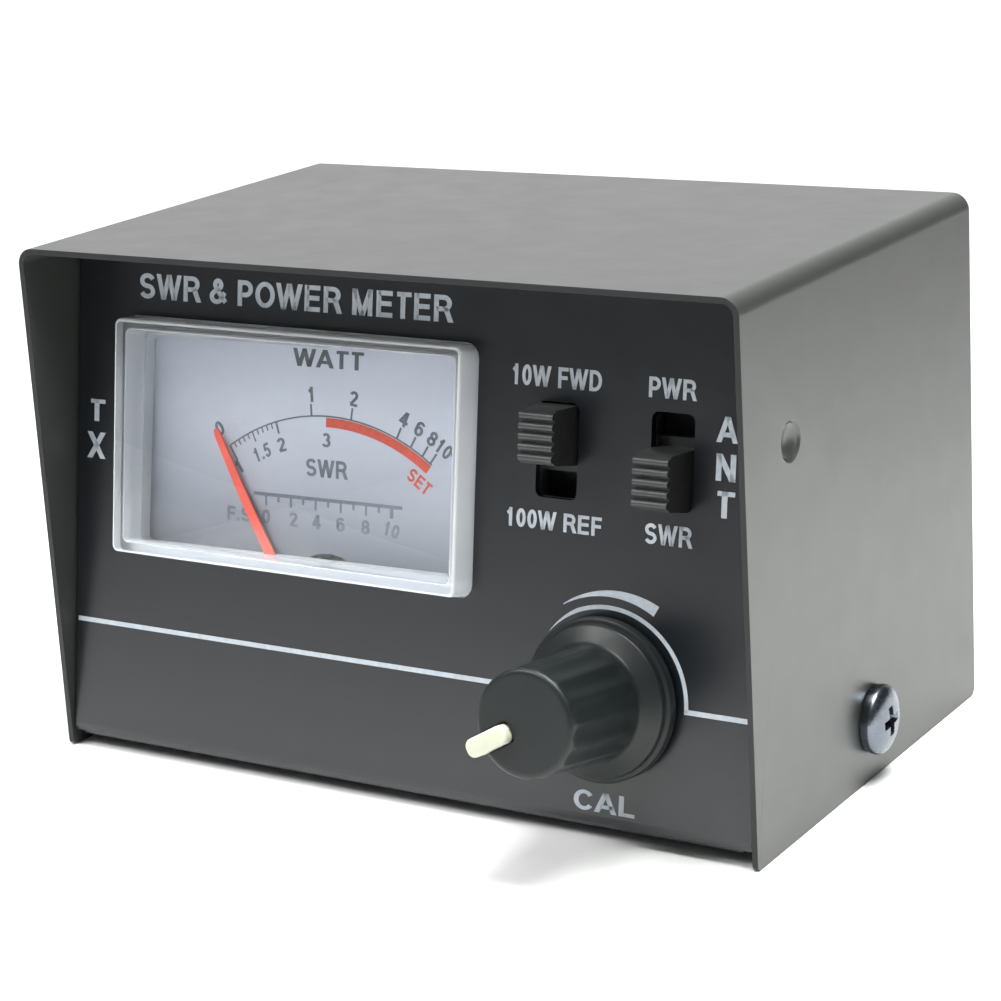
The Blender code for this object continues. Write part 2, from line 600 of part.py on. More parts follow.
def make_knob():
    """Skirted, fluted knob: the ring and skirt are turned, the barrel is scalloped."""
    black = material("knob", (0.02, 0.02, 0.021), 0.3)
    count = 60

    def ring(radius, z, flute=0.0):
        out = []
        for i in range(count):
            a = 2 * math.pi * i / count
            r = radius - (flute if i % 4 in (0, 1) else 0.0)
            out.append((r * math.cos(a), r * math.sin(a), z))
        return out

    rings = [ring(3.15, 16.5), ring(3.15, 5.6), ring(8.4, 4.4), ring(8.8, 0.6), ring(10.4, 0.6),
             ring(10.6, 0.8), ring(10.6, 2.3), ring(9.95, 3.0), ring(9.85, 3.5), ring(9.0, 4.2),
             ring(7.9, 5.7), ring(7.5, 7.2), ring(7.4, 7.6, 0.28), ring(6.95, 18.9, 0.24),
             ring(6.85, 19.4), ring(6.35, KNOB_TOP)]
    where = on_panel(KNOB_X, KNOB_Y, 0.0, KNOB_ANGLE)
    knob = loft("knob", rings, where, black)
    slot = prism("slot", rounded(POINTER_IN - 0.25, 12.0, -1.45, 1.45, 0.7, 3), KNOB_TOP - 1.0, 24, where)
    return combine(knob, [slot])


def make_knob_pointer():
    ivory = material("knob_pointer", (0.85, 0.84, 0.72), 0.4)

    def bar(grow, z):
        return ring_at(rounded(POINTER_IN + grow, POINTER_OUT - grow, -1.22 + grow, 1.22 - grow,
                               1.0 - grow, 4), z)

    low, top = KNOB_TOP - 0.75, KNOB_TOP + 1.35
    rings = [bar(0.0, low), bar(0.0, top - 0.35), bar(0.12, top - 0.1), bar(0.4, top)]
    return loft("knob_pointer", rings, on_panel(KNOB_X, KNOB_Y, 0.0, KNOB_ANGLE), ivory)


def make_control():
    """Carbon control behind the knob: bush, wafer, can, shaft, wiper and panel nut."""
    where = on_panel(KNOB_X, KNOB_Y)
    zinc = material("pot_bushing", (0.62, 0.60, 0.52), 0.35, 1.0)
    turned("pot_bushing", [(SHAFT_R + 0.2, -2.3), (8.2, -2.3), (8.2, -1.3), (BUSH_R, -1.3),
                           (BUSH_R, 5.0), (BUSH_R - 0.2, 5.2), (SHAFT_R + 0.2, 5.2)], where, zinc, 28)
    brown = material("pot_wafer", (0.27, 0.14, 0.06), 0.6)
    wafer = prism("pot_wafer", circle(7.9, 28), -3.8, -2.6, where, brown)
    lugs = [box("tongue", -6.4, 6.4, -12.6, -5.0, -3.8, -2.6, where)]
    lugs += [box("lug", x - 0.8, x + 0.8, -15.2, -9.6, -4.6, -3.5, where) for x in (-5.0, 0.0, 5.0)]
    combine(wafer, lugs, "UNION")
    combine(wafer, [prism("bore", circle(4.0, 24), -6, 0, where)])
    steel = material("pot_can", (0.60, 0.61, 0.62), 0.3, 1.0)
    turned("pot_can", [(0, -10.0), (7.8, -10.0), (8.2, -9.6), (8.2, -4.1), (7.7, -4.1), (7.7, -9.5),
                       (0, -9.5)], where, steel, 28)
    turn = on_panel(KNOB_X, KNOB_Y, 0.0, KNOB_ANGLE)
    metal = material("pot_shaft", (0.66, 0.66, 0.64), 0.3, 1.0)
    turned("pot_shaft", [(0, -9.0), (SHAFT_R - 0.3, -9.0), (SHAFT_R, -8.7), (SHAFT_R, 15.6),
                         (SHAFT_R - 0.5, 16.1), (0, 16.1)], turn, metal, 28)
    copper = material("pot_wiper", (0.62, 0.34, 0.17), 0.35, 1.0)
    wiper = turned("pot_wiper", [(SHAFT_R + GAP, -5.9), (4.6, -5.9), (4.6, -5.4), (SHAFT_R + GAP, -5.4)],
                   turn, copper, 24)
    arm = loft("arm", [[(x, -0.9, z0), (x, 0.9, z0), (x, 0.9, z1), (x, -0.9, z1)]
                       for x, z0, z1 in ((4.2, -5.85, -5.45), (6.6, -4.7, -4.2))], turn)
    combine(wiper, [arm], "UNION")
    nickel = material("pot_nut", (0.68, 0.67, 0.64), 0.28, 1.0)
    nut = prism("pot_nut", circle(5.77, 6), GAP, GAP + 2.2, where, nickel)
    combine(nut, [prism("bore", circle(BUSH_R + GAP, 28), 0, 4, where)])


def make_front_board():
    green = material("front_board", (0.10, 0.20, 0.08), 0.5)
    board = box("front_board", 17.6, 47.4, 33.6, 63.0, -11.8, -10.2, PANEL, green)
    centre = sum(SWITCH_X.values()) / 2
    holes = [prism("hole", circle(1.6, 16, centre, y), -14, -8, PANEL) for y in (37.0, 59.6)]
    combine(board, holes)
    for name, y in (("lower", 37.0), ("upper", 59.6)):
        where = on_panel(centre, y)
        brass = material("standoff_%s" % name, (0.70, 0.56, 0.28), 0.3, 1.0)
        post = prism("standoff_%s" % name, circle(2.7, 6), -9.9, -1.3, where, brass)
        combine(post, [prism("bore", circle(1.6, 16), -11, -5.5, where)])
        back = where @ Matrix.Translation((0, 0, -12.1 * MM)) @ Matrix.Rotation(math.pi, 4, "X")
        steel = material("board_screw_%s" % name, (0.55, 0.55, 0.56), 0.3, 1.0)
        pan_screw("board_screw_%s" % name, back, 2.5, 1.6, 1.25, 5.0, steel, 1.4, 16)
    for name, x in (("fwd", 24.25), ("ref", 40.7)):
        where = on_panel(x, 42.0)
        tan = material("trimmer_%s_base" % name, (0.62, 0.50, 0.30), 0.6)
        base = box("trimmer_%s_base" % name, -4.5, 4.5, -4.5, 4.5, -14.8, -12.1, where, tan)
        combine(base, [prism("well", circle(3.5, 28), -16, -13.3, where)])
        black = material("trimmer_%s_rotor" % name, (0.05, 0.05, 0.055), 0.5)
        rotor = prism("trimmer_%s_rotor" % name, circle(3.1, 28), -15.4, -13.6, where, black)
        cross = [box("slot", -2.2, 2.2, -0.4, 0.4, -16, -14.7, where @ Matrix.Rotation(a, 4, "Z"))
                 for a in (math.pi / 4, 3 * math.pi / 4)]
        combine(rotor, cross)


# ========================================================================================
# rear sockets and coupler board
# ========================================================================================
def flange_screw_places(side):
    """Two screws on one diagonal of each flange; the diagonals mirror each other."""
    return ((-SCREW_PITCH * side, -SCREW_PITCH), (SCREW_PITCH * side, SCREW_PITCH))


def make_socket(name, side):
    """Flange socket: x right, z outwards from the rear panel's face."""
    where = at_rear(side * SOCKET_X, SOCKET_Z)
    nickel = material("socket_%s_shell" % name, (0.66, 0.65, 0.62), 0.25, 1.0)
    front = GAP + FLANGE_T + BARREL_L
    shell = turned("socket_%s_shell" % name,
                   [(5.9, -6.0), (7.0, -6.0), (7.0, 1.0), (BARREL_R, 1.0), (BARREL_R, front - 0.5),
                    (BARREL_R - 0.5, front), (6.3, front), (6.3, front - 1.6), (5.9, front - 1.6)],
                   where, nickel, 32)
    flange = prism("flange", rounded(-FLANGE / 2, FLANGE / 2, -FLANGE / 2, FLANGE / 2, 1.2, 3),
                   GAP, GAP + FLANGE_T, where)
    combine(flange, [prism("bore", circle(6.5, 32), -2, 6, where)])
    combine(shell, [flange], "UNION")
    holes = [prism("hole", circle(1.75, 16, sx * SCREW_PITCH, sy * SCREW_PITCH), -2, 5, where)
             for sx in (-1, 1) for sy in (-1, 1)]
    holes += [box("notch", -0.7, 0.7, -9.0, 9.0, front - 0.9, front + 1,
                  where @ Matrix.Rotation(math.radians(a), 4, "Z")) for a in (0, 90)]
    combine(shell, holes)
    cream = material("socket_%s_insulator" % name, (0.78, 0.74, 0.66), 0.5)
    turned("socket_%s_insulator" % name,
           [(2.75, -7.5), (5.6, -7.5), (5.6, front - 2.2), (3.4, front - 2.2), (3.4, front - 1.3),
            (2.75, front - 1.3)], where, cream, 24)
    gold = material("socket_%s_contact" % name, (0.72, 0.60, 0.32), 0.22, 1.0)
    turned("socket_%s_contact" % name,
           [(0, -14.0), (1.7, -14.0), (1.7, -8.0), (2.45, -7.4), (2.45, front - 1.6), (2.0, front - 1.4),
            (2.0, -4.0), (0, -4.0)], where, gold, 20)
    for place, tag in zip(flange_screw_places(side), ("upper", "lower")):
        steel = material("flange_screw_%s_%s" % (name, tag), (0.60, 0.60, 0.60), 0.3, 1.0)
        seat = where @ Matrix.Translation(Vector((*place, GAP + FLANGE_T + 0.2)) * MM)
        pan_screw("flange_screw_%s_%s" % (name, tag), seat, 2.7, 1.9, 1.45, 7.0, steel, 1.5, 16)


def make_coupler():
    """Board that joins the two centre contacts and carries the pick-up parts."""
    green = material("coupler_board", (0.09, 0.19, 0.08), 0.5)
    board = box("coupler_board", -39.0, 39.0, -SOCKET_Z - 12, -SOCKET_Z + 12, -13.2, -11.6, REAR, green)
    combine(board, [prism("hole", circle(2.0, 20, s * SOCKET_X, -SOCKET_Z), -16, -8, REAR)
                    for s in (-1, 1)])
    for side, name in ((-1, "fwd"), (1, "ref")):
        glass = material("diode_%s" % name, (0.50, 0.22, 0.10), 0.2)
        axial_part("diode_%s" % name, side * 9.0, SOCKET_Z + 7.0, 1.1, 3.8, glass)
        body = material("resistor_%s" % name, (0.55, 0.42, 0.26), 0.5)
        axial_part("resistor_%s" % name, side * 9.0, SOCKET_Z - 7.0, 1.3, 6.0, body)


def axial_part(name, x, z_up, radius, length, mat):
    """A component lying on the board's inner face with its two leads bent down to it."""
    out = -16.0
    where = at_rear(x, z_up)
    lead = [(-6.0, 0, -13.5), (-6.0, 0, out + 0.6), (-5.4, 0, out), (5.4, 0, out),
            (6.0, 0, out + 0.6), (6.0, 0, -13.5)]
    part = tube(name, lead, 0.3, mat, where, 6)
    along = where @ Matrix.Translation((0, 0, out * MM)) @ Matrix.Rotation(math.pi / 2, 4, "Y")
    half = length / 2
    body = turned("body", [(0, -half), (radius * 0.7, -half), (radius, -half + 0.4),
                           (radius, half - 0.4), (radius * 0.7, half), (0, half)], along, count=16)
    return combine(part, [body], "UNION")


def panel_point(x, y, z):
    """Panel coordinates to the world, in millimetres."""
    return (PANEL @ (Vector((x, y, z)) * MM)) / MM


def rear_point(x, z_up, out):
    return (REAR @ (Vector((x, -z_up, out)) * MM)) / MM


def make_wires():
    world = Matrix.Identity(4)
    routes = {
        "wire_meter_pos": ((0.55, 0.03, 0.03), [
            panel_point(PIVOT_X - 10, 38, -32.5), panel_point(PIVOT_X - 9.5, 40, -35.5),
            panel_point(-12, 52, -37), panel_point(6, 57, -35), panel_point(17.5, 58, -28),
            panel_point(20.5, 56.0, -17), panel_point(21.4, 54.5, -12.2)]),
        "wire_meter_neg": ((0.02, 0.02, 0.02), [
            panel_point(PIVOT_X + 10, 38, -32.5), panel_point(PIVOT_X + 10.5, 37, -35.5),
            panel_point(6, 36, -37), panel_point(14, 36, -30), panel_point(18.5, 36, -19),
            panel_point(19.6, 36.0, -14.5), panel_point(19.8, 36.0, -12.2)]),
        "wire_pickup_fwd": ((0.60, 0.55, 0.05), [
            rear_point(-1.6, SOCKET_Z + 7.0, -13.6), rear_point(-1.0, SOCKET_Z + 8.0, -18),
            rear_point(8, SOCKET_Z + 16, -22), rear_point(20, SOCKET_Z + 19, -27),
            panel_point(27.0, 57.0, -18), panel_point(27.2, 55.0, -14.3),
            panel_point(27.2, 54.6, -12.2)]),
        "wire_pickup_ref": ((0.05, 0.10, 0.45), [
            rear_point(1.6, SOCKET_Z - 7.0, -13.6), rear_point(2.0, SOCKET_Z - 7.5, -18),
            rear_point(18, SOCKET_Z - 8, -24), rear_point(34, SOCKET_Z - 4, -30),
            panel_point(44.6, 37.0, -19), panel_point(45.2, 36.6, -14.3),
            panel_point(45.2, 36.6, -12.2)]),
    }
    for name, (colour, points) in routes.items():
        tube(name, smooth_path(points, 3), 0.6, material(name, colour, 0.45), world, 6)


def main():
    clear_scene()
    make_cover()
    make_chassis()
    make_case_screws()
    make_meter_lens()
    make_meter_case()
    make_dial_plate()
    make_needle()
    make_moving_coil()
    make_hairspring("hairspring", -8.45)
    make_movement()
    for which in SWITCH_X:
        make_switch(which)
    make_knob()
    make_knob_pointer()
    make_control()
    make_front_board()
    make_socket("tx", -1)
    make_socket("ant", 1)
    make_coupler()
    make_wires()
    finish_shading()


main()
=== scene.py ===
"""Looks of the SWR and power meter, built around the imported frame.

Sizes are in millimetres and become metres in `Shape.finish`. Everything on the leaning
front panel is drawn in the panel's own frame: x across, y up the slope from the panel's
lower edge, z out of the panel.
"""

import math

import bmesh
import bpy
from mathutils import Matrix, Vector


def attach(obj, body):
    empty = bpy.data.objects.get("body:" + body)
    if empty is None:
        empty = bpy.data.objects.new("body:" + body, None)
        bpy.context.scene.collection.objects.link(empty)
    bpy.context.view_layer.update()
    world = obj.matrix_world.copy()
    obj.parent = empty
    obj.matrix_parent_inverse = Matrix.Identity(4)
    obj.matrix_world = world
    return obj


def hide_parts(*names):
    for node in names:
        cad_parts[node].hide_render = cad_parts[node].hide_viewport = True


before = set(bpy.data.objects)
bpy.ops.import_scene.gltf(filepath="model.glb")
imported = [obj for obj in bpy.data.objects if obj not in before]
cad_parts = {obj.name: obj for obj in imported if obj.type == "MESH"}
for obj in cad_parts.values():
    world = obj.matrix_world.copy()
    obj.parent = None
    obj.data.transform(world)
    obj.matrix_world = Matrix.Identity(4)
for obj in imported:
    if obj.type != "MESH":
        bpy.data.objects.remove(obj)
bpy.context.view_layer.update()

MM = 0.001
COVER_W, COVER_D, COVER_H, COVER_T, COVER_BEND = 110.0, 68.7, 72.3, 0.8, 1.6
CHASSIS_W = 107.8
FRONT_Y, REAR_FACE = -31.7, 68.2
TILT = math.radians(9.7)
SIDE_SCREW_Y, SIDE_SCREW_Z = 34.35, 8.3
SIDE_SCREW_R, SIDE_SCREW_TURN, SIDE_SCREW_HOLE_R = 4.7, 6.0, 2.2
BRACKET_Y, BRACKET_Z, BRACKET_R, BRACKET_FLARE = 12.45, 51.9, 2.3, 0.4
FRONT_CORNER_R, REAR_CORNER_R = 0.8, 1.4                  # the cover's lower corners
LENS_X0, LENS_X1, LENS_Y0, LENS_Y1 = -45.6, 11.9, 28.0, 60.7
LENS_OUT, LENS_WALL = 3.0, 1.3
CASE_X0, CASE_X1, CASE_Y0, CASE_Y1 = -47.2, 13.5, 8.4, 62.4
DIAL_Z = -5.3
SWITCH_Y, TRAVEL = 48.3, 4.2
SWITCHES = {"power": (24.25, 1), "mode": (40.7, -1)}      # across, and up or down at rest
BUTTON_OUT = 5.7
KNOB_X, KNOB_Y, KNOB_TOP, KNOB_ANGLE = 32.5, 17.5, 19.9, 210.0
POINTER_IN, POINTER_OUT = 2.2, 8.3
SOCKET_X, SOCKET_Z = 27.0, 36.5
BARREL_R, BARREL_L, FLANGE, FLANGE_T, GAP = 7.9, 11.5, 25.4, 2.0, 0.3


# ---- light, in the world's strength units ---------------------------------------------
ROOM, SKY, BACK_WALL = 0.11, 0.4, 1.05


# ---- frames -------------------------------------------------------------------------
def axes(x_axis, y_axis, z_axis, origin):
    m = Matrix((x_axis, y_axis, z_axis)).transposed().to_4x4()
    m.translation = Vector(origin)
    return m


UP = Vector((0, math.sin(TILT), math.cos(TILT)))
OUT = Vector((0, -math.cos(TILT), math.sin(TILT)))
PANEL = axes((1, 0, 0), UP, OUT, (0, FRONT_Y + 0.15, 1.35))
REAR = axes((1, 0, 0), (0, 0, -1), (0, 1, 0), (0, FRONT_Y + REAR_FACE, 0))
CASE = axes((1, 0, 0), (0, 0, 1), (0, -1, 0), (0, FRONT_Y, 0))
SECTION = axes((0, 1, 0), (0, 0, 1), (1, 0, 0), (0, FRONT_Y, 0))


def on_panel(x, y, z=0.0, turn=0.0):
    return PANEL @ Matrix.Translation((x, y, z)) @ Matrix.Rotation(math.radians(turn), 4, "Z")


def at_rear(x, z_up):
    return REAR @ Matrix.Translation((x, -z_up, 0))


def on_side(side, y, z):
    """On the outer face of one side of the cover: x forward or back, y up, z outward."""
    return axes((0, side, 0), (0, 0, 1), (side, 0, 0), (side * COVER_W / 2, FRONT_Y + y, z))


# ---- lettering ----------------------------------------------------------------------
# A bold sans drawn with a flat pen. Each glyph has its left bearing, its ink width and its
# advance, in units of the capitals' height, and its strokes. A stroke's points are shares
# of the glyph's box, along the middle of the pen. A straight stroke with cut ends is two points.
def arc(cx, cy, rx, ry, first, last, steps=14):
    angles = [math.radians(first + (last - first) * i / steps) for i in range(steps + 1)]
    return [(cx + rx * math.cos(a), cy + ry * math.sin(a)) for a in angles]


def bowl(right, top, bottom, flat=0.5):
    """From the stem, round to the right, and back to the stem."""
    middle, half = (top + bottom) / 2, (top - bottom) / 2
    return [(0, top)] + arc(flat, middle, right - flat, half, 90, -90) + [(0, bottom)]


OVAL = arc(0.5, 0.5, 0.5, 0.5, 0, 360, 40)
LEFT_STEM, RIGHT_STEM = [(0, 0), (0, 1)], [(1, 0), (1, 1)]
TOP_BAR, LOW_BAR = [(0, 1), (1, 1)], [(0, 0), (1, 0)]
GLYPHS = {
    "A": (0.0, 1.0, 1.0, ([(0, 0), (0.5, 1)], [(1, 0), (0.5, 1)], [(0.2, 0.26), (0.8, 0.26)])),
    "C": (0.06, 0.87, 1.0, (arc(0.55, 0.5, 0.55, 0.5, 36, 324, 30),)),
    "D": (0.1, 0.85, 1.0, (LEFT_STEM, bowl(1.0, 1.0, 0.0, 0.35))),
    "E": (0.1, 0.76, 0.93, (LEFT_STEM, TOP_BAR, [(0, 0.52), (0.93, 0.52)], LOW_BAR)),
    "F": (0.1, 0.69, 0.85, (LEFT_STEM, TOP_BAR, [(0, 0.5), (0.9, 0.5)])),
    "L": (0.1, 0.71, 0.85, (LEFT_STEM, LOW_BAR)),
    "M": (0.1, 0.97, 1.16, (LEFT_STEM, [(0, 1), (0.5, 0)], [(1, 1), (0.5, 0)], RIGHT_STEM)),
    "N": (0.1, 0.80, 1.0, (LEFT_STEM, [(0, 1), (1, 0)], RIGHT_STEM)),
    "O": (0.06, 0.97, 1.09, (OVAL,)),
    "P": (0.1, 0.76, 0.93, (LEFT_STEM, bowl(1.0, 1.0, 0.42))),
    "R": (0.1, 0.90, 1.0, (LEFT_STEM, bowl(0.88, 1.0, 0.48), [(1.0, 0), (0.6, 0.48)])),
    "S": (0.05, 0.81, 0.93, (arc(0.5, 0.75, 0.48, 0.25, 20, 250) + arc(0.5, 0.25, 0.5, 0.25, 70, -160),)),
    "T": (0.03, 0.79, 0.85, (TOP_BAR, [(0.5, 0), (0.5, 1)])),
    "W": (0.0, 1.31, 1.32, ([(0, 1), (0.25, 0)], [(0.5, 1), (0.25, 0)], [(0.5, 1), (0.75, 0)],
                            [(1, 1), (0.75, 0)])),
    "X": (0.0, 0.92, 0.93, ([(0, 0), (1, 1)], [(0, 1), (1, 0)])),
    "&": (0.06, 0.92, 1.0, ([(1.0, 0.0), (0.3, 0.66)] + arc(0.45, 0.81, 0.21, 0.19, 200, -50)
                            + arc(0.36, 0.25, 0.36, 0.25, 130, 320) + [(0.93, 0.45)],)),
    "0": (0.06, 0.66, 0.78, (OVAL,)),
    "1": (0.1, 0.44, 0.78, (RIGHT_STEM, [(0, 0.72), (0.6, 0.84), (1, 1)])),
    "2": (0.04, 0.68, 0.78, (arc(0.48, 0.73, 0.48, 0.27, 165, -35) + [(0.05, 0.02)], LOW_BAR)),
    "3": (0.05, 0.67, 0.78, (arc(0.48, 0.76, 0.42, 0.24, 160, -90) + arc(0.46, 0.26, 0.54, 0.26, 90, -160),)),
    "4": (0.03, 0.70, 0.78, ([(0.74, 0), (0.74, 1)], [(0, 0.25), (1, 0.25)], [(0, 0.28), (0.68, 1)])),
    "5": (0.06, 0.66, 0.78, ([(0.2, 1), (0.95, 1)], [(0.22, 1), (0.1, 0.5)]
                             + arc(0.48, 0.31, 0.52, 0.31, 135, -155),)),
    "6": (0.05, 0.67, 0.78, (arc(0.5, 0.31, 0.5, 0.31, 0, 360, 28), arc(0.52, 0.72, 0.5, 0.28, 30, 180)
                             + [(0, 0.31)])),
    "8": (0.05, 0.67, 0.78, (arc(0.5, 0.76, 0.42, 0.24, 0, 360, 28), arc(0.5, 0.26, 0.5, 0.26, 0, 360, 28))),
    ".": (0.1, 0.19, 0.39, ([(0.5, 0), (0.5, 0.02)],)),
    " ": (0.0, 0.0, 0.39, ()),
}


def pen_outline(points, half_x, half_y):
    """Both edges of a stroke; a slanting straight stroke is cut off level at its ends."""
    if len(points) == 2 and points[0][1] != points[1][1]:
        (ax, ay), (bx, by) = sorted(points, key=lambda p: p[1])
        reach = half_x * math.hypot(1.0, (bx - ax) / (by - ay)) ** 0.8
        low, high = ay - half_y, by + half_y
        return [(ax - reach, low), (bx - reach, high)], [(ax + reach, low), (bx + reach, high)]
    pts = [Vector(p) for p in points]
    ring = (pts[0] - pts[-1]).length < 1e-6
    left, right = [], []
    for i, p in enumerate(pts):
        back = pts[i - 1] if i else (pts[-2] if ring else p)
        ahead = pts[i + 1] if i < len(pts) - 1 else (pts[1] if ring else p)
        along = (ahead - back).normalized()
        offset = Vector((-along.y * half_x, along.x * half_y))
        left.append(tuple(p + offset))
        right.append(tuple(p - offset))
    if not ring and points[0][1] == points[-1][1] and len(points) == 2:
        shift = half_x if points[0][0] in (0, 1) else 0.0
        left[0], right[0] = (left[0][0] - shift, left[0][1]), (right[0][0] - shift, right[0][1])
        left[1], right[1] = (left[1][0] + half_x, left[1][1]), (right[1][0] + half_x, right[1][1])
    return left, right


# ---- shapes -------------------------------------------------------------------------
def circle(radius, count, cx=0.0, cy=0.0):
    return [(cx + radius * math.cos(2 * math.pi * i / count),
             cy + radius * math.sin(2 * math.pi * i / count)) for i in range(count)]


def rounded(x0, x1, y0, y1, radius, seg=8):
    points = []
    for cx, cy, first in ((x1 - radius, y0 + radius, -90), (x1 - radius, y1 - radius, 0),
                          (x0 + radius, y1 - radius, 90), (x0 + radius, y0 + radius, 180)):
        for i in range(seg + 1):
            a = math.radians(first + 90 * i / seg)
            points.append((cx + radius * math.cos(a), cy + radius * math.sin(a)))
    return points


def level(outline, z):
    return [(x, y, z) for x, y in outline]


class Shape:
    """Geometry gathered in millimetres, then finished as one piece in metres."""

    def __init__(self):
        self.bm = bmesh.new()

    def skin(self, rings, where, closed=False):
        """Loops of equal length joined into one surface, capped at both ends unless closed."""
        loops = [[self.bm.verts.new(where @ Vector(p)) for p in ring] for ring in rings]
        pairs = list(zip(loops, loops[1:] + loops[:1])) if closed else list(zip(loops, loops[1:]))
        count = len(loops[0])
        for low, high in pairs:
            for i in range(count):
                j = (i + 1) % count
                self.bm.faces.new((low[i], low[j], high[j], high[i]))
        if not closed:
            self.bm.faces.new(loops[0][::-1])
            self.bm.faces.new(loops[-1])
        return self

    def plate(self, outline, z0, z1, where):
        return self.skin([level(outline, z0), level(outline, z1)], where)

    def turned(self, profile, where, count):
        return self.skin([level(circle(r, count), z) for r, z in profile], where)

    def band(self, cx, cy, r0, r1, a0, a1, z0, z1, where, seg=64):
        """Arc-shaped strip; r0 and r1 may each be a pair that changes along the arc."""
        inner, outer = (r if isinstance(r, tuple) else (r, r) for r in (r0, r1))
        edges = []
        for first, last in (inner, outer):
            edge = []
            for i in range(seg + 1):
                t = i / seg
                a, r = math.radians(a0 + (a1 - a0) * t), first + (last - first) * t
                edge.append((cx + r * math.cos(a), cy + r * math.sin(a)))
            edges.append(edge)
        return self.ribbon(*edges, z0, z1, where)

    def line(self, start, end, width, z0, z1, where):
        a, b = Vector(start), Vector(end)
        side = (b - a).normalized().orthogonal() * (width / 2)
        return self.plate([tuple(a + side), tuple(a - side), tuple(b - side), tuple(b + side)],
                          z0, z1, where)

    def letters(self, text, x0, x1, y0, y1, z0, z1, where, pen=(0.22, 0.18)):
        """Text that fills a box of the frame's plane; the pen's size is a share of its height."""
        half_x, half_y = pen[0] / 2, pen[1] / 2
        bearing, last = GLYPHS[text[0]][0], GLYPHS[text[-1]]
        total = sum(GLYPHS[c][2] for c in text) - bearing - (last[2] - last[0] - last[1])
        sx, sy = (x1 - x0) / total, y1 - y0
        start = -bearing
        for char in text:
            left, ink, advance, strokes = GLYPHS[char]
            for stroke in strokes:
                points = [(start + left + half_x + u * (ink - pen[0]), half_y + v * (1 - pen[1]))
                          for u, v in stroke]
                edges = pen_outline(points, half_x, half_y)
                one, other = ([(x0 + x * sx, y0 + y * sy) for x, y in edge] for edge in edges)
                self.ribbon(one, other, z0, z1, where)
            start += advance
        return self

    def ribbon(self, one, other, z0, z1, where):
        """Flat strip between two edges of equal length, from z0 to z1."""
        rings = [[(*a, z0), (*b, z0), (*b, z1), (*a, z1)] for a, b in zip(one, other)]
        return self.skin(rings, where)

    def finish(self, name, look, body, slot=None, smooth=30.0):
        bmesh.ops.recalc_face_normals(self.bm, faces=self.bm.faces)
        bmesh.ops.scale(self.bm, vec=(MM, MM, MM), verts=self.bm.verts)
        mesh = bpy.data.meshes.new(name)
        self.bm.to_mesh(mesh)
        self.bm.free()
        mesh.polygons.foreach_set("use_smooth", [True] * len(mesh.polygons))
        mesh.set_sharp_from_angle(angle=math.radians(smooth))
        obj = bpy.data.objects.new(name, mesh)
        bpy.context.scene.collection.objects.link(obj)
        mesh.materials.append(look)
        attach(obj, body)
        return obj


def cut(obj, tools):
    """Subtracts finished tool pieces from a piece, and removes them."""
    for tool in tools:
        mod = obj.modifiers.new("cut", "BOOLEAN")
        mod.operation, mod.solver, mod.object = "DIFFERENCE", "EXACT", tool
        bpy.context.view_layer.update()
        graph = bpy.context.evaluated_depsgraph_get()
        mesh = bpy.data.meshes.new_from_object(obj.evaluated_get(graph))
        obj.modifiers.clear()
        obj.data = mesh
        bpy.data.objects.remove(tool)
    obj.data.polygons.foreach_set("use_smooth", [True] * len(obj.data.polygons))
    obj.data.set_sharp_from_angle(angle=math.radians(30))
    return obj


# ---- materials ----------------------------------------------------------------------
class Look:
    """A Principled material with helpers for the procedural detail that feeds it."""

    def __init__(self, name, **constants):
        self.mat = bpy.data.materials.new(name)
        self.mat.use_nodes = True
        self.tree = self.mat.node_tree
        self.bsdf = self.tree.nodes["Principled BSDF"]
        for key, value in constants.items():
            self.bsdf.inputs[key.replace("_", " ")].default_value = value
        coord = self.tree.nodes.new("ShaderNodeTexCoord")
        self.place = coord.outputs["Object"]
        self.height = None

    def link(self, source, target):
        self.tree.links.new(source, target)

    def noise(self, scale, detail=2.0, rough=0.5, stretch=None):
        place = self.place
        if stretch:
            mapping = self.tree.nodes.new("ShaderNodeMapping")
            mapping.inputs["Scale"].default_value = stretch
            self.link(place, mapping.inputs["Vector"])
            place = mapping.outputs["Vector"]
        node = self.tree.nodes.new("ShaderNodeTexNoise")
        node.inputs["Scale"].default_value = scale
        node.inputs["Detail"].default_value = detail
        node.inputs["Roughness"].default_value = rough
        self.link(place, node.inputs["Vector"])
        return node.outputs["Fac"]

    def cells(self, scale):
        node = self.tree.nodes.new("ShaderNodeTexVoronoi")
        node.inputs["Scale"].default_value = scale
        self.link(self.place, node.inputs["Vector"])
        return node.outputs["Distance"]

    def ramp(self, source, *stops):
        """Colour or value ramp of (position, value) stops."""
        node = self.tree.nodes.new("ShaderNodeValToRGB")
        points = node.color_ramp.elements
        while len(points) < len(stops):
            points.new(0.5)
        for point, (position, value) in zip(points, stops):
            point.position = position
            point.color = (*value, 1.0) if isinstance(value, tuple) else (value, value, value, 1.0)
        self.link(source, node.inputs["Fac"])
        return node.outputs["Color"]

    def colour(self, source, *stops):
        self.link(self.ramp(source, *stops), self.bsdf.inputs["Base Color"])
        return self

    def rough(self, source, *stops):
        self.link(self.ramp(source, *stops), self.bsdf.inputs["Roughness"])
        return self

    def bump(self, source, strength, distance):
        node = self.tree.nodes.new("ShaderNodeBump")
        node.inputs["Strength"].default_value = strength
        node.inputs["Distance"].default_value = distance * MM
        self.link(source, node.inputs["Height"])
        if self.height:
            self.link(self.height, node.inputs["Normal"])
        self.height = node.outputs["Normal"]
        self.link(self.height, self.bsdf.inputs["Normal"])
        return self


def shade(colour, factor):
    return tuple(min(1.0, c * factor) for c in colour)


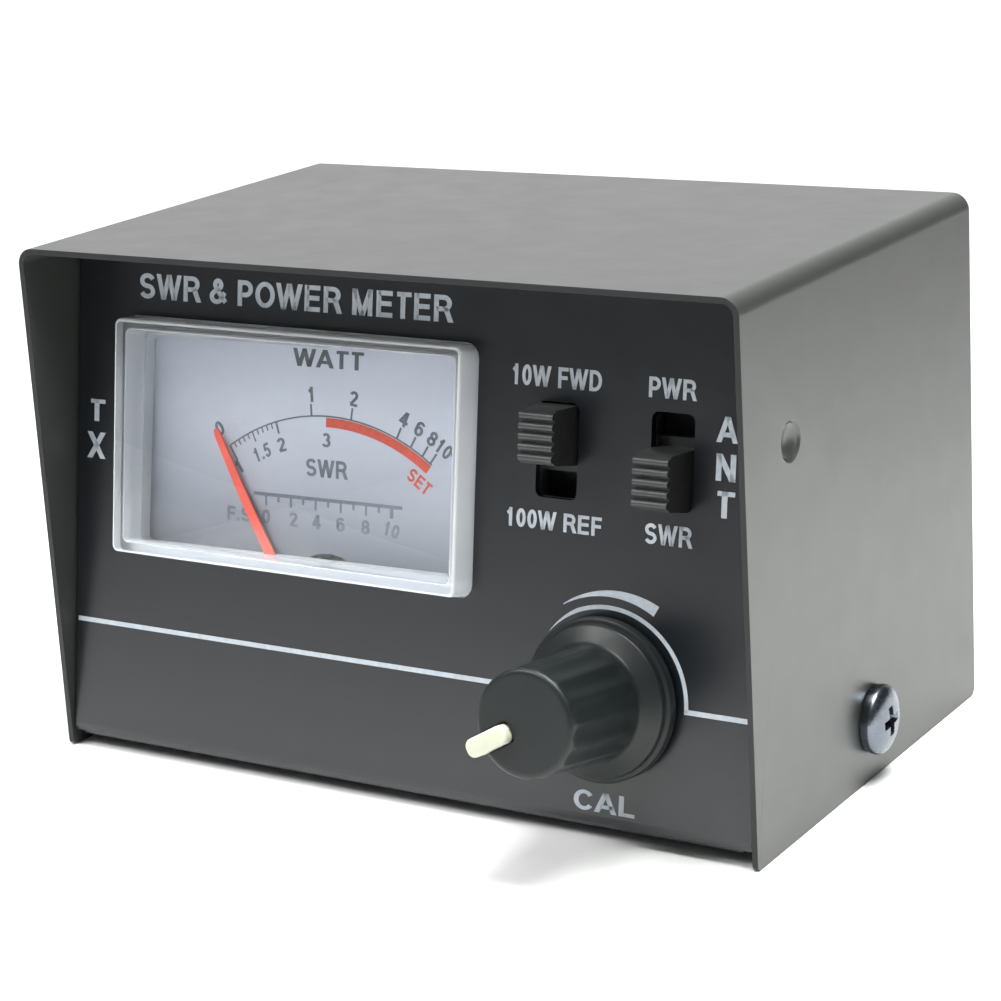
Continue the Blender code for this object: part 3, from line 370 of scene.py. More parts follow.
def powder_coat(name, colour, low, high, gloss, grain=0.035):
    """Satin paint with a fine orange peel."""
    look = Look(name, Specular_IOR_Level=gloss)
    look.colour(look.noise(60, 3), (0.3, shade(colour, 0.95)), (0.7, shade(colour, 1.05)))
    look.rough(look.noise(200, 3), (0.3, low), (0.7, high))
    look.bump(look.noise(1500, 2, 0.4), grain, 0.03)
    look.bump(look.noise(5200, 2), grain * 0.7, 0.015)
    return look.mat


def plastic(name, colour, low, high, grain=0.1, size=2600, sheen=0.5):
    look = Look(name, Specular_IOR_Level=sheen)
    look.colour(look.noise(140, 3), (0.3, shade(colour, 0.9)), (0.7, shade(colour, 1.1)))
    look.rough(look.noise(420, 3), (0.3, low), (0.7, high))
    look.bump(look.noise(size, 3), grain, 0.03)
    return look.mat


def metal(name, colour, low, high, brushed=None, grain=0.08):
    """Plated or machined metal, with a grain direction when `brushed` is given."""
    look = Look(name, Metallic=1.0)
    look.colour(look.noise(200, 4), (0.3, shade(colour, 0.85)), (0.7, shade(colour, 1.1)))
    source = look.noise(900, 4, 0.6, brushed) if brushed else look.noise(700, 4, 0.6)
    look.rough(source, (0.3, low), (0.7, high))
    look.bump(source, grain, 0.02)
    return look.mat


def laminate(name, colour, weave):
    """Fibre board with its weave showing through the lacquer."""
    look = Look(name)
    threads = look.cells(1400)
    look.colour(threads, (0.1, shade(colour, weave)), (0.7, shade(colour, 1.15)))
    look.rough(look.noise(500, 3), (0.3, 0.35), (0.7, 0.55))
    look.bump(threads, 0.2, 0.03)
    return look.mat


def ink(name, colour, low=0.5, high=0.7):
    """Screen-printed ink, a little uneven in its cover."""
    look = Look(name)
    look.colour(look.noise(1300, 4, 0.6), (0.32, shade(colour, 0.86)), (0.6, colour))
    look.rough(look.noise(900, 3), (0.3, low), (0.7, high))
    look.bump(look.noise(4200, 3), 0.15, 0.01)
    return look.mat


def clear_plastic(name, haze=0.0):
    """Polished acrylic that lets light through; `haze` is how milky its moulded edges are."""
    look = Look(name, Transmission_Weight=1.0 - haze, IOR=1.49)
    look.colour(look.noise(60, 2), (0.3, (0.95, 0.97, 0.985)), (0.7, (0.975, 0.985, 1.0)))
    look.rough(look.noise(120, 3), (0.35, 0.0), (0.75, 0.03))
    tree = look.tree
    rays, see, mix = (tree.nodes.new(kind) for kind in
                      ("ShaderNodeLightPath", "ShaderNodeBsdfTransparent", "ShaderNodeMixShader"))
    see.inputs["Color"].default_value = (0.93, 0.95, 0.97, 1.0)
    look.link(rays.outputs["Is Shadow Ray"], mix.inputs["Fac"])
    look.link(look.bsdf.outputs["BSDF"], mix.inputs[1])
    look.link(see.outputs["BSDF"], mix.inputs[2])
    look.link(mix.outputs["Shader"], tree.nodes["Material Output"].inputs["Surface"])
    return look.mat


COVER_PAINT = powder_coat("cover_paint", (0.037, 0.040, 0.037), 0.34, 0.38, 1.0)
PANEL_PAINT = powder_coat("panel_paint", (0.006, 0.008, 0.011), 0.29, 0.33, 0.72)
# A darker, duller copy of the cover paint for the sheet's front edge: painted shade.
FRONT_EDGE_SHADE = powder_coat("front_edge_painted_shade", (0.007, 0.008, 0.009), 0.34, 0.42, 0.4)
PRINT = ink("panel_print", (0.48, 0.53, 0.58))
SCREW = metal("screw_nickel", (0.17, 0.19, 0.22), 0.18, 0.34)
ZINC = metal("zinc", (0.62, 0.61, 0.57), 0.25, 0.42)
NICKEL = metal("nickel", (0.68, 0.67, 0.63), 0.16, 0.3)
BRASS = metal("brass", (0.66, 0.50, 0.23), 0.22, 0.38, (1, 1, 6))
GOLD = metal("gold_plate", (0.80, 0.60, 0.28), 0.16, 0.28)
COPPER = metal("copper", (0.62, 0.28, 0.13), 0.25, 0.4, (6, 1, 1))
IRON = metal("blackened_iron", (0.035, 0.035, 0.037), 0.4, 0.55)
LENS = clear_plastic("lens_clear")
LENS_EDGE = clear_plastic("lens_edge", 0.6)
GASKET = plastic("pale_gasket", (0.62, 0.64, 0.66), 0.5, 0.65)
CASE_GREY = plastic("meter_plastic", (0.36, 0.38, 0.37), 0.42, 0.55)
NEEDLE_RED = plastic("needle_lacquer", (0.86, 0.13, 0.09), 0.35, 0.5, 0.05)
KNOB_BLACK = plastic("knob_plastic", (0.011, 0.014, 0.014), 0.36, 0.44, 0.02, 2600, 0.38)
IVORY = plastic("ivory_plastic", (0.60, 0.62, 0.49), 0.3, 0.45, 0.05)
BUTTON_BLACK = plastic("button_plastic", (0.038, 0.042, 0.041), 0.38, 0.52)
PHENOLIC = laminate("phenolic", (0.20, 0.10, 0.05), 0.8)
# Black of the switch bodies, also laid on the buttons' sides as painted shade.
SWITCH_BLACK_AND_SIDE_SHADE = plastic("switch_body_and_button_side_shade", (0.012, 0.011, 0.011), 0.55, 0.7)
BOARD = laminate("board_laminate", (0.07, 0.17, 0.06), 0.75)
TRIM_TAN = plastic("trimmer_body", (0.55, 0.43, 0.25), 0.55, 0.7, 0.2)
CREAM = plastic("insulator", (0.74, 0.69, 0.58), 0.4, 0.55)
AMBER = plastic("diode_body", (0.45, 0.17, 0.07), 0.08, 0.16, 0.02)
LACQUER = plastic("resistor_body", (0.52, 0.38, 0.22), 0.35, 0.5)
DIAL_GREY = ink("dial_ink_grey", (0.18, 0.19, 0.21))
DIAL_RED = ink("dial_ink_red", (0.68, 0.11, 0.07))
WIRES = {"wire_meter_pos": (0.50, 0.03, 0.03), "wire_meter_neg": (0.02, 0.02, 0.02),
         "wire_pickup_fwd": (0.60, 0.52, 0.04), "wire_pickup_ref": (0.05, 0.10, 0.42)}


def dial_paint():
    """Matt white print on the dial plate, with painted shade that greys it towards its foot and its left end.
    """
    look = Look("dial_white")
    split = look.tree.nodes.new("ShaderNodeSeparateXYZ")
    look.link(look.place, split.inputs["Vector"])
    painted_shades = []
    # Painted shade: the white is scaled down towards the dial's foot (Z) and its left end (X), where the
    # window and the case shade it.
    for axis, low, high, dark in (("Z", 0.026, 0.056, 0.12), ("X", -0.046, -0.02, 0.86)):
        node = look.tree.nodes.new("ShaderNodeMapRange")
        for key, value in (("From Min", low), ("From Max", high), ("To Min", dark), ("To Max", 1.0)):
            node.inputs[key].default_value = value
        look.link(split.outputs[axis], node.inputs["Value"])
        painted_shades.append(node.outputs["Result"])
    paint = look.ramp(look.noise(700, 4, 0.6), (0.3, (0.79, 0.82, 0.90)), (0.7, (0.82, 0.85, 0.94)))
    for fade in painted_shades:
        node = look.tree.nodes.new("ShaderNodeVectorMath")
        node.operation = "SCALE"
        look.link(paint, node.inputs[0])
        look.link(fade, node.inputs["Scale"])
        paint = node.outputs["Vector"]
    look.link(paint, look.bsdf.inputs["Base Color"])
    look.rough(look.noise(500, 3), (0.3, 0.55), (0.7, 0.7))
    look.bump(look.noise(3800, 3), 0.08, 0.01)
    return look.mat


DIAL_WHITE_WITH_PAINTED_SHADE = dial_paint()


def dress_cad():
    """Gives every CAD node its own finish."""
    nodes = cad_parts
    finish = {
        "cover": COVER_PAINT, "chassis": PANEL_PAINT, "meter_lens": LENS, "meter_case": CASE_GREY,
        "dial_plate": DIAL_WHITE_WITH_PAINTED_SHADE, "needle": NEEDLE_RED, "moving_coil": COPPER, "hairspring": BRASS,
        "magnet_core": IRON, "yoke_ring": IRON, "front_bridge": SWITCH_BLACK_AND_SIDE_SHADE,
        "knob": KNOB_BLACK, "knob_pointer": IVORY,
        "pot_wafer": PHENOLIC, "pot_wiper": COPPER, "coupler_board": BOARD, "front_board": BOARD}
    by_prefix = (
        ("cover_screw", SCREW), ("rear_bridge", BRASS), ("jewel", BRASS),
        ("meter_terminal", BRASS), ("pot_", ZINC), ("standoff", BRASS), ("board_screw", ZINC),
        ("flange_screw", ZINC), ("diode", AMBER), ("resistor", LACQUER))
    by_suffix = (("_frame", ZINC), ("_slider", BUTTON_BLACK), ("_rotor", BUTTON_BLACK),
                 ("_shell", NICKEL), ("_insulator", CREAM), ("_contact", GOLD))
    for name, obj in nodes.items():
        look = finish.get(name)
        if look is None and name in WIRES:
            look = plastic("insulation_" + name, WIRES[name], 0.35, 0.5, 0.05)
        if look is None and name.endswith("_base"):
            look = TRIM_TAN if name.startswith("trimmer") else SWITCH_BLACK_AND_SIDE_SHADE
        for key, choice in by_suffix:
            if look is None and name.endswith(key):
                look = choice
        for key, choice in by_prefix:
            if look is None and name.startswith(key):
                look = choice
        obj.data.materials.clear()
        obj.data.materials.append(look)


# ---- printing -----------------------------------------------------------------------
def print_panel():
    z0, z1 = 0.005, 0.045
    shape = Shape()
    labels = (
        ("SWR & POWER METER", -43.3, 8.1, 63.36, 66.85), ("10W FWD", 17.2, 30.4, 56.2, 58.85),
        ("100W REF", 17.0, 31.1, 38.0, 40.4), ("PWR", 37.1, 43.8, 56.13, 58.7),
        ("SWR", 37.3, 44.0, 37.85, 40.45), ("CAL", 28.5, 37.4, 2.65, 5.27),
        ("A", 46.75, 49.65, 51.4, 54.6), ("N", 46.85, 49.55, 46.65, 50.0),
        ("T", 46.8, 49.6, 42.1, 45.4), ("T", -52.15, -49.15, 45.65, 48.72),
        ("X", -52.2, -49.1, 40.4, 44.1))
    for text, x0, x1, y0, y1 in labels:
        shape.letters(text, x0, x1, y0, y1, z0, z1, PANEL)
    edge = CHASSIS_W / 2 - 0.4
    shape.line((-edge, 17.3), (KNOB_X - 11.6, 17.3), 0.65, z0, z1, PANEL)
    shape.line((KNOB_X + 11.35, 17.3), (edge, 17.3), 0.65, z0, z1, PANEL)
    shape.band(KNOB_X, KNOB_Y, 11.35, 11.9, -1.5, 112, z0, z1, PANEL, 64)
    shape.band(KNOB_X, KNOB_Y, 11.35, (11.9, 11.4), 112, 138, z0, z1, PANEL, 24)
    shape.band(KNOB_X, KNOB_Y, 13.0, (14.5, 13.12), 60, 120, z0, z1, PANEL, 48)
    shape.finish("panel_print", PRINT, "case", "panel_paint", 10)


def print_dial():
    cx, cy, z0, z1 = -13.85, 20.5, DIAL_Z + 0.005, DIAL_Z + 0.035
    pen = (0.22, 0.18)
    grey, red = Shape(), Shape()

    def ray(angle, radius):
        a = math.radians(angle)
        return (cx + radius * math.cos(a), cy + radius * math.sin(a))

    def tick(angle, r0, r1, width=0.3):
        grey.line(ray(angle, r0), ray(angle, r1), width, z0, z1, PANEL)

    def label(shape, text, place, height, width, turn):
        where = on_panel(*place, 0.0, turn)
        shape.letters(text, -width / 2, width / 2, -height / 2, height / 2, z0, z1, where, pen)

    grey.band(cx, cy, 28.6, 28.82, 54.3, 125.4, z0, z1, PANEL, 80)
    for text, angle, wide in (("0", 125.8, 1.3), ("1", 95.7, 0.9), ("2", 82.6, 1.4), ("4", 67.2, 1.5),
                              ("6", 62.3, 1.4), ("8", 58.0, 1.4), ("10", 54.0, 2.5)):
        label(grey, text, ray(angle, 31.7), 2.1, wide, angle - 90)
    for angle in (95.7, 82.6, 67.2, 62.3, 58.0, 54.9):
        tick(angle, 28.7, 30.4)
    for text, angle, wide in (("1", 126.3, 0.9), ("1.5", 115.9, 2.9), ("2", 107.9, 1.4), ("3", 90.7, 1.4)):
        label(grey, text, ray(angle, 25.4), 2.0, wide, 0.0 if text == "3" else angle - 90)
    tick(125.4, 26.3, 28.7)
    tick(107.9, 27.0, 28.7)
    for i in range(1, 10):
        tick(125.4 - i * 1.75, 27.9 if i % 5 else 27.2, 28.7, 0.2)
    red.band(cx, cy, 27.2, 28.5, 54.3, 90.8, z0, z1, PANEL, 64)
    label(red, "SET", ray(54.6, 25.6), 1.9, 4.0, -35.0)
    label(grey, "SWR", (-14.05, 41.9), 2.5, 6.9, 0.0)
    label(grey, "WATT", (-14.2, 57.1), 2.5, 11.8, 0.0)
    grey.line((-26.2, 37.5), (-1.7, 37.5), 0.5, z0, z1, PANEL)
    for i in range(11):
        x = -24.1 + i * 2.07
        wide = 0.55 if i == 10 else 0.32
        grey.line((x, 37.4), (x, 35.9 if i % 2 == 0 else 36.5), wide, z0, z1, PANEL)
    for text, x, wide in (("F.S", -28.7, 4.0), ("0", -24.1, 1.4), ("2", -19.5, 1.4), ("4", -15.65, 1.5),
                          ("6", -11.7, 1.4), ("8", -7.6, 1.4), ("10", -3.4, 2.5)):
        label(grey, text, (x, 34.3), 2.0, wide, -15.0 if text == "10" else 0.0)
    grey.finish("dial_print_grey", DIAL_GREY, "case", "dial_white", 10)
    red.finish("dial_print_red", DIAL_RED, "case", "dial_white", 10)


# ---- finer pieces -------------------------------------------------------------------
def fine_cover():
    """Folded sheet with true bends, its front edge darkened as painted shade, and a cup in each side hole."""
    half, outer = COVER_W / 2, COVER_BEND + COVER_T

    def fold(offset, radius):
        edge, top = half - offset, COVER_H - offset
        return ([(edge, 0)] + arc(edge - radius, top - radius, radius, radius, 0, 90, 16)
                + arc(radius - edge, top - radius, radius, radius, 90, 180, 16) + [(-edge, 0)])
    outline = fold(0.0, outer) + fold(COVER_T, COVER_BEND)[::-1]
    cover = Shape().plate(outline, -COVER_D, 0, CASE).finish("cover_sheet", COVER_PAINT, "case",
                                                             "cover_paint")
    tools = []
    for y, radius in ((0.0, FRONT_CORNER_R), (COVER_D, REAR_CORNER_R)):
        toward = 1 if y == 0 else -1
        curve = [(y + toward * radius * (1 - math.sin(a)), radius * (1 - math.cos(a)))
                 for a in (math.radians(9 * i) for i in range(11))]
        corner = [(y - toward, -1), (y + toward * radius, -1)] + curve + [(y - toward, radius)]
        tools.append(Shape().plate(corner, -half - 1, half + 1, SECTION).finish("tool", COVER_PAINT, "case"))
    for side in (-1, 1):
        mouth = BRACKET_R + BRACKET_FLARE
        hole = [(BRACKET_R, -4), (BRACKET_R, -BRACKET_FLARE), (mouth, 0), (mouth, 1)]
        tools.append(Shape().turned(hole, on_side(side, BRACKET_Y, BRACKET_Z), 64)
                     .finish("tool", COVER_PAINT, "case"))
        screw_hole = [(SIDE_SCREW_HOLE_R, -4), (SIDE_SCREW_HOLE_R, 1)]
        tools.append(Shape().turned(screw_hole, on_side(side, SIDE_SCREW_Y, SIDE_SCREW_Z), 48)
                     .finish("tool", COVER_PAINT, "case"))
    cut(cover, tools)
    # Faces that look forward take the darker copy of the paint: painted shade on the front edge.
    cover.data.materials.append(FRONT_EDGE_SHADE)
    for face in cover.data.polygons:
        face.material_index = 1 if face.normal.y < -0.9 else 0
    soften(cover, 0.14)
    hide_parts("cover")
    for side, tag in ((-1, "left"), (1, "right")):
        cup = [(2.26, -1.12), (2.26, -0.3), (2.1, -0.34), (1.8, -0.46), (1.4, -0.66), (1.0, -0.82),
               (0.6, -0.92), (0.1, -0.97)]
        Shape().turned(cup, on_side(side, BRACKET_Y, BRACKET_Z), 64).finish(
            "bracket_cup_" + tag, COVER_PAINT, "case", "cover_paint", 40)


def dial_gasket():
    """Pale frame between the dial's rim and the back of the window."""
    x0, x1, y0, y1 = LENS_X0, LENS_X1, LENS_Y0, LENS_Y1
    low, high = DIAL_Z + 0.05, -3.05
    outer = rounded(x0, x1, y0, y1, 1.0)
    inner = rounded(x0 + 1.35, x1 - 1.35, y0 + 1.2, y1 - 2.0, 0.8)
    rings = [level(outer, low), level(outer, high), level(inner, high), level(inner, low)]
    Shape().skin(rings, PANEL, closed=True).finish("dial_gasket", GASKET, "case", "meter_plastic", 30)


def fine_lens():
    """The moulded window: thick side walls, softly rounded front edge, flange behind."""
    x0, x1, y0, y1, wall = LENS_X0, LENS_X1, LENS_Y0, LENS_Y1, LENS_WALL
    rings = [level(rounded(x0 + wall + 0.55, x1 - wall - 0.65, y0 + wall + 0.35, y1 - wall - 0.25, 0.8),
                   LENS_OUT - 1.2),
             level(rounded(x0 + wall + 0.42, x1 - wall - 0.5, y0 + wall + 0.22, y1 - wall - 0.12, 0.8),
                   LENS_OUT - 1.28),
             level(rounded(x0 + wall, x1 - wall, y0 + wall, y1 - wall, 0.8), 0.0),
             level(rounded(x0 + wall, x1 - wall, y0 + wall, y1 - wall, 0.8), -3.0),
             level(rounded(CASE_X0, CASE_X1, CASE_Y0, CASE_Y1, 2.0), -3.0),
             level(rounded(CASE_X0, CASE_X1, CASE_Y0, CASE_Y1, 2.0), -1.3),
             level(rounded(x0, x1, y0, y1, 1.0), -1.3),
             level(rounded(x0, x1, y0, y1, 1.0), 0.2)]
    steps = 5
    for i in range(steps + 1):
        a = math.radians(90 * i / steps)
        grow = 1 - math.cos(a)
        rings.append(level(rounded(x0 + 0.3 + 0.4 * grow, x1 - 0.6 - 0.4 * grow, y0 + 0.15 + 0.4 * grow,
                                   y1 - 0.1 - 0.4 * grow, 0.9 - 0.2 * grow),
                           LENS_OUT - 0.4 + 0.4 * math.sin(a)))
    lens = Shape().skin(rings, PANEL).finish("lens_window", LENS, "case", "lens_clear", 25)
    lens.data.materials.append(LENS_EDGE)
    for face in lens.data.polygons:
        face.material_index = 0 if len(face.vertices) > 4 else 1
    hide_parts("meter_lens")


def fine_knob():
    """Turned skirt and ring with a fluted barrel."""
    count, flutes = 300, 15

    def ring(radius, z, depth=0.0):
        out = []
        for i in range(count):
            a = 2 * math.pi * i / count
            r = radius - depth * (0.5 + 0.5 * math.cos(flutes * a)) ** 0.7
            out.append((r * math.cos(a), r * math.sin(a), z))
        return out
    rings = [ring(3.15, 16.5), ring(3.15, 5.6), ring(7.2, 4.2), ring(8.8, 0.6), ring(10.35, 0.6),
             ring(10.55, 0.7), ring(10.6, 0.9), ring(10.6, 1.9), ring(10.5, 2.1), ring(10.3, 2.2),
             ring(10.0, 2.25), ring(9.92, 2.4), ring(9.9, 2.9), ring(9.8, 3.1), ring(9.6, 3.25),
             ring(7.85, 4.35), ring(7.62, 4.6), ring(7.5, 5.0), ring(7.46, 5.4, 0.05),
             ring(7.45, 5.8, 0.2), ring(7.42, 6.4, 0.34), ring(7.2, 12.0, 0.34), ring(7.0, 18.2, 0.32),
             ring(6.96, 18.8, 0.22), ring(6.9, 19.2, 0.08), ring(6.8, 19.5), ring(6.62, 19.75),
             ring(6.4, 19.87), ring(6.1, KNOB_TOP), ring(5.9, KNOB_TOP), ring(3.0, KNOB_TOP)]
    where = on_panel(KNOB_X, KNOB_Y, 0.0, KNOB_ANGLE)
    knob = Shape().skin(rings, where).finish("knob_body", KNOB_BLACK, "knob_turning", "knob_black", 40)
    slot = Shape().plate(rounded(POINTER_IN - 0.25, 12.0, -1.45, 1.45, 0.7, 6), KNOB_TOP - 1.0, 24, where)
    cut(knob, [slot.finish("slot", KNOB_BLACK, "knob_turning")])
    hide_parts("knob")


def fine_pointer():
    """Ivory bar that stands proud of the knob's face, rounded at both ends and on top."""
    low, top = KNOB_TOP - 0.75, KNOB_TOP + 1.35

    def bar(grow, z):
        return level(rounded(POINTER_IN + grow, POINTER_OUT - grow, -1.22 + grow, 1.22 - grow,
                             1.0 - grow, 8), z)
    rings = [bar(0.0, low), bar(0.0, top - 0.42)]
    rings += [bar(0.4 * (1 - math.cos(math.radians(a))), top - 0.42 + 0.42 * math.sin(math.radians(a)))
              for a in (18, 36, 54, 72, 90)]
    shape = Shape().skin(rings, on_panel(KNOB_X, KNOB_Y, 0.0, KNOB_ANGLE))
    bar_piece = shape.finish("pointer_bar", IVORY, "knob_turning", "pointer_ivory", 40)
    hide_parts("knob_pointer")


def fine_screw(name, node, where, head_r, head_h, shank_r, shank_l, drive, look, slot):
    """Pan head with a cross recess."""
    profile = []
    for i in range(1, 13):
        a = math.radians(90 * i / 12)
        profile.append((head_r * math.sin(a) ** 0.9, head_h * (0.42 + 0.58 * math.cos(a))))
    profile += [(head_r, 0.2 * head_h), (head_r - 0.12, 0.05), (head_r - 0.3, 0.0), (shank_r, 0.0)]
    pitch, z = 0.7, 0.0
    while z > -shank_l + 0.8:
        profile += [(shank_r, z - 0.1 * pitch), (shank_r - 0.28, z - 0.5 * pitch),
                    (shank_r - 0.28, z - 0.6 * pitch), (shank_r, z - 0.95 * pitch)]
        z -= pitch
    profile.append((shank_r - 0.4, -shank_l))
    screw = Shape().turned(profile, where, 64).finish(name, look, "case", slot, 35)
    wide, deep = drive * 0.26, head_h * 0.62
    tools = []
    for turn in (0, 90):
        arm = where @ Matrix.Rotation(math.radians(turn), 4, "Z")
        ends = [(-drive, -wide), (drive, -wide), (drive, wide), (-drive, wide)]
        narrow = [(x * 0.35, y * 0.8) for x, y in ends]
        rings = [level(narrow, head_h - deep), level(ends, head_h + 0.3)]
        tools.append(Shape().skin(rings, arm).finish("drive", look, "case"))
    cut(screw, tools)
    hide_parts(node)


def fine_screws():
    for side, tag in ((-1, "left"), (1, "right")):
        where = on_side(side, SIDE_SCREW_Y, SIDE_SCREW_Z) @ Matrix.Translation((0, 0, 0.15))
        where = where @ Matrix.Rotation(math.radians(SIDE_SCREW_TURN), 4, "Z")
        fine_screw("case_screw_" + tag, "cover_screw_" + tag, where, SIDE_SCREW_R, 2.6, 1.9, 5.2, 2.4,
                   SCREW, "screw_nickel")
    for side, name in ((-1, "tx"), (1, "ant")):
        for sign, tag in ((-1, "upper"), (1, "lower")):
            where = at_rear(side * SOCKET_X, SOCKET_Z) @ Matrix.Translation(
                (9.1 * side * sign, 9.1 * sign, GAP + FLANGE_T + 0.2))
            fine_screw("flange_bolt_%s_%s" % (name, tag), "flange_screw_%s_%s" % (name, tag), where,
                       2.7, 1.9, 1.45, 7.0, 1.5, ZINC, "plated_steel")


def fine_button(which):
    """Thumb button with five rounded cross ribs, on its carriage."""
    x, up = SWITCHES[which]
    where = on_panel(x, SWITCH_Y + up * TRAVEL / 2)
    front_half, ribs, foot = 3.3, 5, 3.8
    pitch = 2 * front_half / ribs
    outline = [(-foot, -2.5), (-foot, 0.3), (-front_half - 0.15, BUTTON_OUT - 0.9)]
    for i in range(ribs):
        y = -front_half + i * pitch
        outline.append((y + 0.08 * pitch, BUTTON_OUT - 0.66))
        for k in range(7):
            a = math.pi * (1 - k / 6)
            outline.append((y + pitch * (0.5 + 0.36 * math.cos(a)), BUTTON_OUT - 0.5 + 0.5 * math.sin(a)))
        outline.append((y + 0.92 * pitch, BUTTON_OUT - 0.66))
    outline += [(front_half + 0.15, BUTTON_OUT - 0.9), (foot, 0.3), (foot, -2.5)]

    def side(sign):
        """One side of the button, which narrows a little towards its ribs."""
        return [(sign * (2.75 - 0.30 * max(0.0, z) / BUTTON_OUT), y, z) for y, z in outline]
    shape = Shape().skin([side(-1), side(1)], where)
    shape.skin([level(rounded(-3.9, 3.9, -5.0, 5.0, 0.4, 3), -5.2),
                level(rounded(-3.9, 3.9, -5.0, 5.0, 0.4, 3), -2.52)], where)
    body = "power_slider" if which == "power" else "mode_slider"
    button = shape.finish("button_" + which, BUTTON_BLACK, body, "button_black", 50)
    # The button's sides get a darker black than its face: painted shade on the sides that turn from the
    # light.
    button.data.materials.append(SWITCH_BLACK_AND_SIDE_SHADE)
    for face in button.data.polygons:
        face.material_index = 1 if abs(face.normal.x) > 0.9 else 0
    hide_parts("switch_%s_slider" % which)


def fine_socket(name, side):
    """Socket shell with its flange and a helical thread on the barrel."""
    where = at_rear(side * SOCKET_X, SOCKET_Z)
    count, pitch, front = 96, 1.058, GAP + FLANGE_T + BARREL_L
    low, high, depth = GAP + FLANGE_T + 0.9, front - 0.7, 0.55
    rows = []

    def thread(z, fade):
        ring = []
        for i in range(count):
            turn = i / count
            phase = ((z / pitch) - turn) % 1.0
            cut_depth = depth * (1 - abs(2 * phase - 1)) * fade
            r = BARREL_R - min(max(cut_depth - 0.04, 0.0), depth - 0.1)
            a = 2 * math.pi * turn
            ring.append((r * math.cos(a), r * math.sin(a), z))
        return ring
    rows.append(level(circle(5.9, count), -6.0))
    rows.append(level(circle(7.0, count), -6.0))
    rows.append(level(circle(7.0, count), GAP + 0.3))
    rows.append(level(circle(BARREL_R, count), GAP + 0.3))
    rows.append(level(circle(BARREL_R, count), low - 0.5))
    steps = int((high - low) / pitch * 10)
    for i in range(steps + 1):
        z = low + (high - low) * i / steps
        fade = min(1.0, (z - low) / 0.8, (high - z) / 0.5)
        rows.append(thread(z, max(0.0, fade)))
    rows += [level(circle(r, count), z) for r, z in (
        (BARREL_R, front - 0.55), (BARREL_R - 0.12, front - 0.3), (BARREL_R - 0.5, front), (6.3, front),
        (6.3, front - 1.6), (5.9, front - 1.6))]
    shell = Shape().skin(rows, where, closed=True).finish("socket_barrel_" + name, NICKEL, "case",
                                                          "socket_nickel", 25)
    notches = [Shape().plate([(-0.7, -9), (0.7, -9), (0.7, 9), (-0.7, 9)], front - 0.9, front + 1,
                             where @ Matrix.Rotation(math.radians(a), 4, "Z"))
               .finish("notch", NICKEL, "case") for a in (0, 90)]
    cut(shell, notches)
    half = FLANGE / 2
    rings = [level(rounded(-half, half, -half, half, 1.2), GAP),
             level(rounded(-half, half, -half, half, 1.2), GAP + FLANGE_T - 0.25),
             level(rounded(-half + 0.25, half - 0.25, -half + 0.25, half - 0.25, 1.0), GAP + FLANGE_T)]
    plate = Shape().skin(rings, where).finish("socket_flange_" + name, NICKEL, "case",
                                              "socket_nickel", 35)
    holes = [Shape().plate(circle(1.75, 48, sx * 9.1, sy * 9.1), -2, 5, where)
             .finish("hole", NICKEL, "case") for sx in (-1, 1) for sy in (-1, 1)]
    holes.append(Shape().plate(circle(BARREL_R - 0.02, count), -2, 5, where).finish("hole", NICKEL, "case"))
    cut(plate, holes)
    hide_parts("socket_%s_shell" % name)


def soften(obj, width):
    """Small radius on every sharp edge of a sheet."""
    mod = obj.modifiers.new("edge", "BEVEL")
    mod.width = width * MM
    mod.segments = 2
    mod.limit_method = "ANGLE"
    mod.angle_limit = math.radians(50)
    mod.harden_normals = True


# ---- studio -------------------------------------------------------------------------
def make_world():
    """A dim room with one bright wall, low behind the object and to its left."""
    world = bpy.data.worlds.new("studio")
    bpy.context.scene.world = world
    world.use_nodes = True
    tree = world.node_tree
    coord = tree.nodes.new("ShaderNodeTexCoord")

    def remap(source, low, high, to_low, to_high):
        node = tree.nodes.new("ShaderNodeMapRange")
        node.interpolation_type = "SMOOTHSTEP"
        for key, value in (("From Min", low), ("From Max", high), ("To Min", to_low), ("To Max", to_high)):
            node.inputs[key].default_value = value
        tree.links.new(source, node.inputs["Value"])
        return node.outputs["Result"]

    def combine(kind, one, other):
        node = tree.nodes.new("ShaderNodeMath")
        node.operation = kind
        tree.links.new(one, node.inputs[0])
        tree.links.new(other, node.inputs[1])
        return node.outputs["Value"]

    toward = tree.nodes.new("ShaderNodeVectorMath")
    toward.operation = "DOT_PRODUCT"
    toward.inputs[1].default_value = (-0.54, 0.84, 0.0)
    tree.links.new(coord.outputs["Generated"], toward.inputs[0])
    split = tree.nodes.new("ShaderNodeSeparateXYZ")
    tree.links.new(coord.outputs["Generated"], split.inputs["Vector"])
    wall = combine("MULTIPLY", remap(toward.outputs["Value"], 0.55, 0.95, 0.0, 1.0),
                   remap(split.outputs["Z"], 0.34, 0.6, 1.0, 0.15))
    strength = combine("ADD", remap(wall, 0.0, 1.0, 0.0, BACK_WALL), remap(split.outputs["Z"], 0.3, 1.0,
                                                                        ROOM, SKY))
    background = tree.nodes["Background"]
    background.inputs["Color"].default_value = (0.995, 0.98, 0.995, 1.0)
    tree.links.new(strength, background.inputs["Strength"])


def area_light(name, place, aim, size, spread, power, tint=(1.0, 1.0, 1.0)):
    """Square soft box with a grid that keeps its light within a cone."""
    light = bpy.data.lights.new(name, "AREA")
    light.size = size
    light.spread = math.radians(spread)
    light.energy = power
    light.color = tint
    obj = bpy.data.objects.new(name, light)
    bpy.context.scene.collection.objects.link(obj)
    obj.location = place
    obj.rotation_euler = (Vector(aim) - Vector(place)).to_track_quat("-Z", "Y").to_euler()


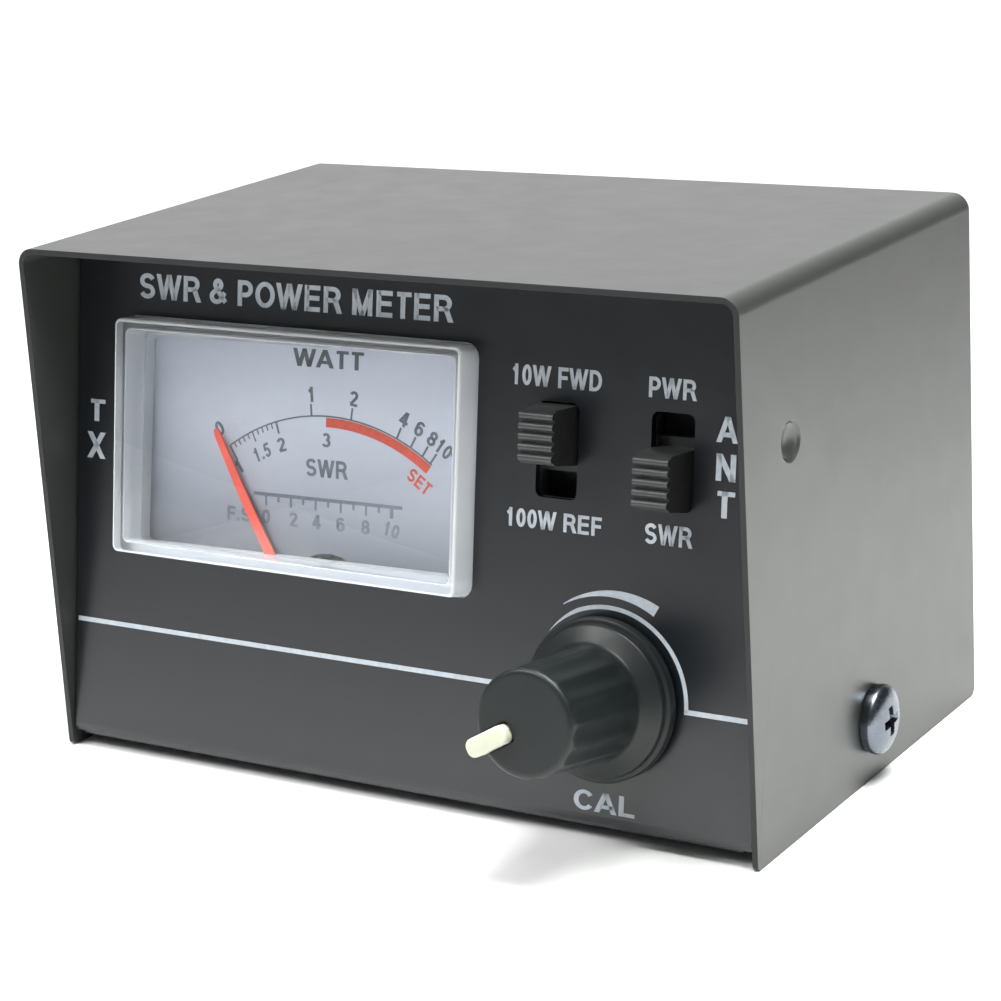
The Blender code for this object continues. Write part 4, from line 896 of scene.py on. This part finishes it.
def make_lights():
    area_light("overhead", (0.17, -0.01, 0.60), (0.11, 0.0, 0.0), 0.30, 72, 1.3, (0.97, 1.0, 0.975))
    area_light("backdrop", (-0.45, 0.6, 1.5), (-0.45, 0.6, 0.0), 1.0, 60, 5.0)
    area_light("front_left", (-0.45, -0.55, 0.8), (-0.2, -0.35, 0.0), 0.5, 76, 2.6)


def make_floor():
    bm = bmesh.new()
    bmesh.ops.create_grid(bm, x_segments=8, y_segments=8, size=3.0)
    mesh = bpy.data.meshes.new("floor")
    bm.to_mesh(mesh)
    bm.free()
    floor = bpy.data.objects.new("floor", mesh)
    bpy.context.scene.collection.objects.link(floor)
    look = Look("floor_paper")
    look.colour(look.noise(40, 3), (0.3, (0.90, 0.90, 0.895)), (0.7, (0.92, 0.92, 0.915)))
    look.rough(look.noise(30, 2), (0.3, 0.75), (0.7, 0.85))
    mesh.materials.append(look.mat)


def make_camera():
    azimuth, elevation, roll = (math.radians(a) for a in (32.5895, 16.1552, -3.4166))
    distance, target = 353.846, Vector((20.6075, FRONT_Y, 44.2742))
    back = Vector((math.sin(azimuth) * math.cos(elevation), -math.cos(azimuth) * math.cos(elevation),
                   math.sin(elevation)))
    right = (-back).cross(Vector((0, 0, 1))).normalized()
    up = right.cross(-back)
    across = right * math.cos(roll) + up * math.sin(roll)
    over = up * math.cos(roll) - right * math.sin(roll)
    data = bpy.data.cameras.new("camera")
    data.sensor_width = 36.0
    data.lens = 101.698
    data.clip_start, data.clip_end = 0.02, 20.0
    camera = bpy.data.objects.new("camera", data)
    bpy.context.scene.collection.objects.link(camera)
    camera.matrix_world = axes(across, over, back, (target + back * distance) * MM)
    bpy.context.scene.camera = camera


dress_cad()
soften(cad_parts["chassis"], 0.12)
fine_cover()
print_panel()
print_dial()
dial_gasket()
fine_lens()
fine_knob()
fine_pointer()
fine_screws()
for switch in SWITCHES:
    fine_button(switch)
fine_socket("tx", -1)
fine_socket("ant", 1)
make_world()
make_lights()
make_floor()
make_camera()
bpy.context.scene.view_settings.view_transform = "Standard"
